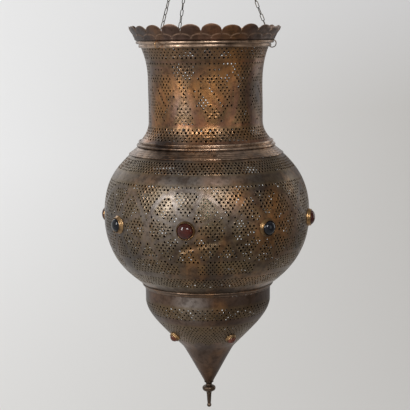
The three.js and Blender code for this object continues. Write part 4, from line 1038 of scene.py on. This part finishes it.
def seat_frame(radius_at, angle, z):
    """The point on a shell at an angle and height, and the directions along, up and out of it."""
    slope = radius_at(np.array([z + 1.0]))[0] - radius_at(np.array([z - 1.0]))[0]
    lean = np.arctan(slope / 2)
    radial = outwards(angle)
    along = np.array([-radial[1], radial[0], 0.0])
    up = radial * np.sin(lean) + np.array([0, 0, np.cos(lean)])
    out = radial * np.cos(lean) - np.array([0, 0, np.sin(lean)])
    centre = radial * radius_at(np.array([z]))[0] + np.array([0, 0, z + LAMP])
    return centre, np.stack([along, up, out])


def cabochon(radius, standoff, grip, sides=48):
    """A flat back, a straight side to the grip, then an ellipse up to the standoff."""
    t = np.linspace(0, np.pi / 2, 14)
    dome = np.stack([radius * np.cos(t), grip + (standoff - grip) * np.sin(t)], -1)[:-1]
    back = eased([(0, -1.2), (radius - 0.4, -1.2), (radius, -0.6), (radius, grip)], 0.4, 2)
    return turned(np.concatenate([back[:-1], dome, [(0, standoff)]]), sides)


def bezel_collar(inner, wall, height, sides=64):
    """A collar that flares at its foot, draws in like a cone and rolls over at a thin lip."""
    lip = inner + 1.5
    outline = [
        (inner + 0.2, -2.0), (inner + wall + 1.6, -2.0), (inner + wall + 1.2, 0.8),
        (inner + wall + 0.1, 2.0), (lip - 0.3, height - 2.0), (lip, height - 0.9),
        (lip - 0.5, height), (inner + 0.2, height - 0.6),
    ]
    return turned(eased(outline, 0.8, 4, closed=True), sides, closed=True)


def carried(shape, centre, axes):
    """Takes a shape's x, y and z to three directions from a centre."""
    points, quads, fans = shape
    return points @ axes + centre, quads, fans


def set_jewels(label, count, first, level, radius_at, kinds):
    """Jewels one step apart round a shell. Each kind is (radius, standoff, wall and height in
    millimetres, glass, slot), and the two kinds take turns."""
    for i in range(count):
        (radius, standoff, wall, height), glass_material, slot = kinds[i % 2]
        seat = seat_frame(radius_at, first + 360 * i / count, level)
        glass = carried(cabochon(radius, standoff, height * 0.6), *seat)
        brass = carried(bezel_collar(radius + 0.3, wall, height), *seat)
        names = f"{label}_jewel_{i + 1}", f"{label}_bezel_{i + 1}"
        add_shape(f"{label}_glass_{i + 1}", glass, "lamp", slot, glass_material, names[0])
        add_shape(f"{label}_collar_{i + 1}", brass, "lamp", "brass_bright", bright_brass, names[1])


RED_SIZE = (15.6, 14.0, 1.9, 6.4)
BLUE_SIZE = (13.8, 13.6, 3.4, 7.4)
BOWL_SIZE = (9.0, 11.6, 1.6, 5.6)
set_jewels(
    "belly", 8, JEWELS, JEWEL_LEVEL, belly_radius,
    [(RED_SIZE, red_glass, "glass_red"), (BLUE_SIZE, blue_glass, "glass_blue")],
)
set_jewels(
    "bowl", 4, BOWL_JEWELS, BOWL_JEWEL_LEVEL, bowl_radius,
    [(BOWL_SIZE, amber_glass, "glass_amber"), (BOWL_SIZE, amber_glass, "glass_blue")],
)

# %% [markdown]
# ## The chains
# Each chain runs from the hanging ring down to an eye ring through the rim. Its links are bent
# wire: two straight sides and two half circles, each link turned a quarter to the last. The route
# is solved as in the CAD model: it starts on the ring's wire and aims at the point of the eye
# ring that a pull from there would reach. An Array modifier could lay the links as well, but
# their pitch and turn have to come out right at both ends, so both are worked out first.

# %% Hang the chains
RING_LOW, RING_RADIUS, RING_WIRE = -99.0, 17.0, 2.0
EYE_RADIUS, EYE_WIRE = 8.0, 1.0
EYE_HEIGHT = 335.5
EYE_OUT = float(neck_radius(np.array([EYE_HEIGHT]))[0]) + 5.6
CHAINS = [(-42.0, -6.0), (79.0, 0.0), (205.0, 6.0)]
LINK_PITCH, LINK_END, LINK_WIRE = 14.0, 2.7, 0.9
TOP_LENGTH, TOP_END, TOP_WIRE = 17.0, 4.2, 1.0
GAP, SLACK = 0.3, 0.1


def link_points(length, end_radius, wire_radius, steps=8, sides=8):
    """A link along Y in the XY plane: two half circles joined by straight sides."""
    t = np.linspace(-np.pi / 2, np.pi / 2, steps + 1)
    reach = length / 2 - wire_radius - end_radius
    right = np.stack([end_radius * np.cos(t), end_radius * np.sin(t), 0 * t], -1)
    low, high = right[: steps // 2 + 1], right[steps // 2 :]
    path = np.concatenate([low - [0, reach, 0], high + [0, reach, 0]])
    path = np.concatenate([path, path[::-1][1:-1] * [-1, 1, 1]])
    return wire(path, (0, 0, 1), wire_radius, sides, True)


def chain_shape(azimuth, offset):
    """Links one pitch apart on a straight line, the normal of each turned about that line."""
    start = np.array([0, offset, RING_LOW + RING_RADIUS - np.sqrt(RING_RADIUS**2 - offset**2)])
    radial = outwards(azimuth)
    eye = radial * EYE_OUT + UP * (LAMP + EYE_HEIGHT)
    pull = radial * ((start - eye) @ radial) + UP * (start - eye)[2]
    pull /= np.linalg.norm(pull)
    line = eye + EYE_RADIUS * pull - start
    distance = np.linalg.norm(line)
    line /= distance
    first = -(RING_WIRE + GAP) - TOP_WIRE
    last = distance + (EYE_WIRE + GAP) + LINK_WIRE
    top_end = first + TOP_LENGTH
    hold_top = TOP_WIRE + LINK_WIRE + SLACK
    hold = 2 * LINK_WIRE + SLACK
    count = int(round((last - top_end + hold_top - hold) / LINK_PITCH))
    pitch = (last - top_end + hold_top - hold) / count
    lean = offset / RING_RADIUS
    normal = np.array([0, np.sqrt(1 - lean**2), lean])
    normal -= line * (normal @ line)
    normal /= np.linalg.norm(normal)
    end_normal = np.cross(pull, np.cross(radial, UP))
    end_normal -= line * (end_normal @ line)
    end_normal /= np.linalg.norm(end_normal)
    wanted = np.arctan2(end_normal @ np.cross(line, normal), end_normal @ normal)
    rest = (wanted - count * np.pi / 2 + np.pi / 2) % np.pi - np.pi / 2
    index = np.arange(count)
    spin = (np.pi / 2 + rest / count) * (index + 1)
    spin = spin + 0.10 * np.sin(1.7 * index + azimuth)
    normals = np.cos(spin)[:, None] * normal + np.sin(spin)[:, None] * np.cross(line, normal)
    centres = start + line * (top_end - hold_top + pitch * index + (pitch + hold) / 2)[:, None]
    sides = np.cross(np.broadcast_to(line, normals.shape), normals)
    axes = np.stack([sides, np.broadcast_to(line, normals.shape), normals], 1)
    small = link_points(pitch + hold, LINK_END, LINK_WIRE)
    points = (np.einsum("vk,lkx->lvx", small[0], axes) + centres[:, None]).reshape(-1, 3)
    quads = (small[1][None] + (np.arange(count) * len(small[0]))[:, None, None]).reshape(-1, 4)
    top = link_points(TOP_LENGTH, TOP_END, TOP_WIRE, 10, 10)
    top_axes = np.stack([np.cross(line, normal), line, normal])
    top_points = top[0] @ top_axes + start + line * (first + top_end) / 2
    print(f"chain at {azimuth:.0f} degrees: {count + 1} links, pitch {pitch:.2f} mm")
    return gathered((top_points, *top[1:]), (points, quads, NO_TRIANGLES))


def circle(radius, steps):
    """Cosines and sines of one turn, times the radius."""
    t = np.arange(steps) * (2 * np.pi / steps)
    return radius * np.cos(t), radius * np.sin(t)


for i, (azimuth, offset) in enumerate(CHAINS, 1):
    chain = chain_shape(azimuth, offset)
    add_shape(f"chain_wire_{i}", chain, "lamp", "chain_brass", chain_metal, f"chain_{i}")
    radial = outwards(azimuth)
    c, s = circle(EYE_RADIUS, 40)
    path = radial * (EYE_OUT + c)[:, None] + UP * (EYE_HEIGHT + LAMP + s)[:, None]
    loop = wire(path, np.cross(radial, UP), EYE_WIRE, 12, True)
    add_shape(f"eye_loop_{i}", loop, "lamp", "brass_bright", bright_brass, f"eye_ring_{i}")

# %% [markdown]
# ## Hanging ring, hook and canopy
# Above the picture the lamp hangs as such lamps do: a wire ring over an open hook that turns in a
# small canopy cup. The hook's path is a list of points eased into a smooth curve in one plane. A
# Bezier curve with a bevel would look the same, but the wire function is already here.

# %% Bend the hook and turn the canopy
HOOK_WIRE, HOOK_BEND, HOOK_CENTRE = 2.5, 11.0, -58.8
c, s = circle(RING_RADIUS, 72)
ring_path = np.stack([0 * c, c, s + RING_LOW + RING_RADIUS], -1)
loop = wire(ring_path, (1.0, 0, 0), RING_WIRE, 16, True)
add_shape("hanging_ring", loop, "ring", "chain_brass", chain_metal, "hang_ring")


def hook_path():
    """Straight down the shank, an ease to the right, then 210 degrees of circle to the tip."""
    ease = [(0, 17.05), (3.85, 11.55), (9.35, 6.05)]
    bend = np.radians(np.linspace(0, 210, 22))
    down = [(0, -21.0), (0, -30.3), (0, -36.0)]
    points = down + [(x, HOOK_CENTRE + z) for x, z in ease]
    points += list(zip(HOOK_BEND * np.cos(bend), HOOK_CENTRE - HOOK_BEND * np.sin(bend)))
    flat = eased(np.array(points), 5.0, 5)
    return np.stack([flat[:, 0], 0 * flat[:, 0], flat[:, 1]], -1)


hook = wire(hook_path(), (0, 1.0, 0), HOOK_WIRE, 20, False)
washer = turned(eased([(0, -33.3), (6, -33.3), (6, -30.3), (0, -30.3)], 0.7, 4), 48)
add_shape("open_hook", gathered(hook, washer), "hook", "chain_brass", chain_metal, "ceiling_hook")

canopy = [
    (44.1, -0.3), (44.1, -5.6), (32.1, -20.7), (9.6, -28), (2.8, -28), (2.8, -30), (10, -30),
    (33, -21.6), (45, -6), (45, -0.3),
]
turned_piece(
    "canopy", canopy, [0.3, 3, 6, 0.6, 0.3, 0.3, 2.0, 7, 3, 0.3], 6, 160, True, 0,
    "ceiling", "brass_dark", dark_brass, "canopy_cup",
)

# %% [markdown]
# ## The finial
# A turned drop closes the cone and clamps the rod inside: a lip, a slim neck, a flat knob and a
# long spike that ends in a bead. It could be stacked from balls and cones, but a lathe cuts one
# profile from end to end, and so does this cell.

# %% Turn the finial
TIP = BOWL_TIP - 0.3
finial = [
    (0, 58), (2.2, 57.6), (4.4, 55.8), (4.8, 52.4), (3.5, 49.6), (3.9, 47.0), (4.9, 31.0),
    (5.6, 24.6), (8.6, 22.6), (13.0, 20.0), (14.3, 16.4), (13.9, 12.8), (11.2, 10.4), (6.8, 9.0),
    (6.2, 6.6), (7.2, 3.8), (9.4, 2.4), (10.2, 1.2), (9.6, 0), (0, 0),
]
turned_piece(
    "finial_drop", [(radius, TIP - below) for radius, below in finial], 2.0, 5, 96, False, LAMP,
    "lamp", "brass_dark", dark_brass, "finial",
)

# %% [markdown]
# ## The candle inside
# A rod rises from the finial through a nut to a drip pan and a cup with a candle. It is hardly
# seen through the holes, but it shows when one looks down into the lamp. The picture shows none
# of it, so all of it has usual sizes and simple turned forms, and only the wax is uneven.

# %% Stem, pan, cup and candle
PAN, CUP, WAX = -70.0, -68.2, -61.9
stem = [(0, -397), (4, -397), (4, -65.2), (0, -65.2)]
turned_piece(
    "stem_rod", stem, 0.5, 3, 32, False, LAMP, "lamp", "brass_aged", plain_brass, "candle_stem"
)
pan = [
    (4.4, PAN), (28, PAN), (33, PAN + 4), (35, PAN + 8.4), (36, PAN + 9.4), (34.6, PAN + 9.6),
    (33.4, PAN + 8.6), (31.6, PAN + 5), (27.2, PAN + 1.5), (4.4, PAN + 1.5),
]
turned_piece("pan", pan, 0.9, 4, 96, True, LAMP, "lamp", "brass_aged", plain_brass, "drip_pan")
cup = [
    (0, CUP + 3.3), (4.4, CUP + 3.3), (4.4, CUP), (11, CUP), (14.5, CUP + 4), (13.8, CUP + 12),
    (14.5, CUP + 24.6), (16.2, CUP + 25.8), (15.2, CUP + 26.2), (12.5, CUP + 25.6), (12.5, CUP + 6),
    (0, CUP + 6),
]
turned_piece(
    "cup", cup, [0, 0.3, 0.3, 1.5, 3, 4, 2, 0.8, 0.8, 1, 0.5, 0], 4, 64, False, LAMP,
    "lamp", "brass_aged", plain_brass, "candle_cup",
)


def candle_surface(sides=72):
    """A cylinder whose top edge is uneven and whose middle is a shallow well, with three runs of
    wax down its side: radius = 12 + the sum of narrow bumps in angle that fade downwards."""
    outline = [(0, 0), (11.8, 0), (11.8, 93.4), (9.6, 95), (4, 93.6), (0, 93)]
    profile = eased(outline, [0, 1, 2.5, 1.5, 2, 0], 6)
    points, quads, fans = turned(profile, sides)
    x, y, z = points.T
    angle = np.arctan2(y, x)
    share = np.clip((z - 30) / 60, 0, 1) * (np.hypot(x, y) > 11)
    away = [wrapped(angle, at, 2 * np.pi) for at in (0.4, 2.3, -1.7)]
    runs = sum(np.exp(-((a / 0.16) ** 2)) for a in away)
    grow = 1 + 0.9 * runs * share / 12
    top = np.clip((z - 88) / 7, 0, 1) * 0.7 * np.sin(3 * angle + 0.6)
    return np.stack([x * grow, y * grow, z + WAX + top + LAMP], -1), quads, fans


add_shape("candle_wax", candle_surface(), "candle", "wax", wax, "candle")
t = np.linspace(0, 1, 14)
wick_path = np.stack([1.6 * t**3, 0 * t, WAX + 90 + 12.8 * t + LAMP], -1)
wick_shape = wire(wick_path, (0, 1.0, 0), 1.0 - 0.25 * t, 12, False)
add_shape("wick_end", wick_shape, "candle", "wick", cotton, "wick")

# %% [markdown]
# ## Small parts kept from the CAD model
# The ceiling plate, the screws and the nuts are right as they are. They could be made again with
# finer edges, but they are small and mostly hidden, so they only get a metal.

# %% Dress the small parts
SMALL_PARTS = (
    "ceiling_plate", "canopy_screw_right", "canopy_screw_left", "hook_nut", "stem_nut", "pan_nut"
)
for node in SMALL_PARTS:
    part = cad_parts[node]
    part.data.materials.clear()
    part.data.materials.append(steel)
print("zinc steel on", len(SMALL_PARTS), "small parts")

# %% [markdown]
# ## The studio
# The lamp hangs in a pale paper sweep: a floor that curves up into a wall, painted lighter on the
# left than on the right as light and shade. A floor and a wall could be two planes, but their edge
# would draw a hard line behind the lamp, so both are one turned form, which is there from every
# side. Its pale colour glows, and that glow is what the camera and reflections mostly see, with a
# share of lit paper, so that shadows stay. The room is painted darker far to the right, as shade,
# which keeps that edge of the brass dark.

# %% Floor and wall
FLOOR_LEVEL = -2.35
SWEEP_RADIUS, WALL_RADIUS, WALL_TOP = 3.3, 5.0, 3.5
PAPER = 0.1
PAPER_GLOW, SEEN_SHARE = 1.1, 0.85


def sweep_material():
    """Pale paper with painted light and shade: a blend of four greys from left to right and from
    low to high, lighter on the left and higher up, and painted shade far to the right. Rays that
    see it directly, in gloss or through glass meet mostly its glow."""
    r = Recipe("paper_sweep")
    split = r.add("SeparateXYZ")
    r.feed(split.inputs["Vector"], r.place)
    across = r.ramp(split.outputs["X"], -1.2, 1.2)
    height = r.ramp(split.outputs["Z"], -2.4, 0.35)
    # Painted light and shade of the wall: lighter higher up and on the left.
    left = r.mix(r.ramp(height, 0.0, 0.45), linear(218, 217, 215), linear(231, 231, 231))
    right = r.mix(r.ramp(height, 0.55, 1.0), linear(191, 189, 186), linear(214, 214, 216))
    colour = r.mix(across, left, right)
    # Painted shade far to the right.
    colour = r.mix(r.ramp(split.outputs["X"], 1.5, 3.0), colour, linear(140, 138, 136))
    glow = r.add("Emission")
    r.feed(glow.inputs["Color"], colour)
    glow.inputs["Strength"].default_value = PAPER_GLOW
    path = r.add("LightPath")
    seen = r.math("MAXIMUM", path.outputs["Is Camera Ray"], path.outputs["Is Glossy Ray"])
    seen = r.math("MAXIMUM", seen, path.outputs["Is Transmission Ray"])
    choose = r.add("MixShader")
    r.feed(choose.inputs["Fac"], r.math("MULTIPLY", seen, SEEN_SHARE))
    r.tree.links.new(r.shader.outputs["BSDF"], choose.inputs[1])
    r.tree.links.new(glow.outputs["Emission"], choose.inputs[2])
    output = next(n for n in r.tree.nodes if n.bl_idname == "ShaderNodeOutputMaterial")
    r.tree.links.new(choose.outputs["Shader"], output.inputs["Surface"])
    return r.finish(Base_Color=colour, Roughness=0.9)


bend = np.linspace(0, np.pi / 2, 24)
bend_size = WALL_RADIUS - SWEEP_RADIUS
cove_radius = SWEEP_RADIUS + bend_size * np.cos(bend)
cove_height = FLOOR_LEVEL + bend_size * (1 - np.sin(bend))
outer = WALL_RADIUS + PAPER
under = FLOOR_LEVEL - PAPER
sweep = np.concatenate([
    [(0, under), (outer, under), (outer, WALL_TOP), (WALL_RADIUS, WALL_TOP)],
    np.stack([cove_radius, cove_height], -1),
    [(0, FLOOR_LEVEL)],
])
sweep_mesh = mesh_from("sweep", *turned(sweep, 128))
sweep_mesh.materials.append(sweep_material())
sweep_object = bpy.data.objects.new("sweep", sweep_mesh)
bpy.context.collection.objects.link(sweep_object)
print("paper sweep:", 2 * WALL_RADIUS, "m across, floor at", FLOOR_LEVEL, "m")

# %% [markdown]
# ## Lights
# A tall window on the left and a panel in front make the bright stripes on the neck and the belly.
# Three weak boxes lift the right side and the back, and the world adds an even grey, so that no
# side of the metal turns black. Sharp lamps would be simpler, but they leave only points of light
# on metal, where a box leaves a broad soft stripe.

# %% Lights and the world


def soft_box(name, azimuth, distance, height, size, power):
    """A rectangular lamp at an azimuth from the front in degrees, a distance from the lamp's axis
    and a height above its belly, facing the belly."""
    lamp = bpy.data.lights.new(name, "AREA")
    lamp.shape = "RECTANGLE"
    lamp.size, lamp.size_y = size
    lamp.energy = power
    holder = bpy.data.objects.new(name, lamp)
    bpy.context.collection.objects.link(holder)
    turn = azimuth * DEGREE
    back = np.array([distance * np.sin(turn), -distance * np.cos(turn), height])
    place = back + [0, 0, BELLY_LEVEL]
    back /= np.linalg.norm(back)
    right = np.cross((0, 0, 1.0), back)
    right /= np.linalg.norm(right)
    up = np.cross(back, right)
    facing = Matrix([[*axis] for axis in np.stack([right, up, back]).T.tolist()])
    holder.matrix_world = Matrix.Translation(place.tolist()) @ facing.to_4x4()


soft_box("window", -46, 3.1, 1.15, (0.6, 1.6), 62.0)
soft_box("front_panel", 12, 3.0, 1.4, (1.0, 0.9), 60.0)
soft_box("fill", 55, 3.4, 0.3, (1.4, 1.8), 9.0)
soft_box("back_light", -146, 2.9, 1.4, (1.2, 1.6), 9.0)
soft_box("right_back", 124, 2.9, 0.4, (1.0, 1.8), 9.0)

world = bpy.data.worlds.new("studio_air")
bpy.context.scene.world = world
world.use_nodes = True
world.node_tree.nodes["Background"].inputs["Color"].default_value = (0.72, 0.72, 0.73, 1)
world.node_tree.nodes["Background"].inputs["Strength"].default_value = 0.55
bpy.context.scene.view_settings.view_transform = "Standard"
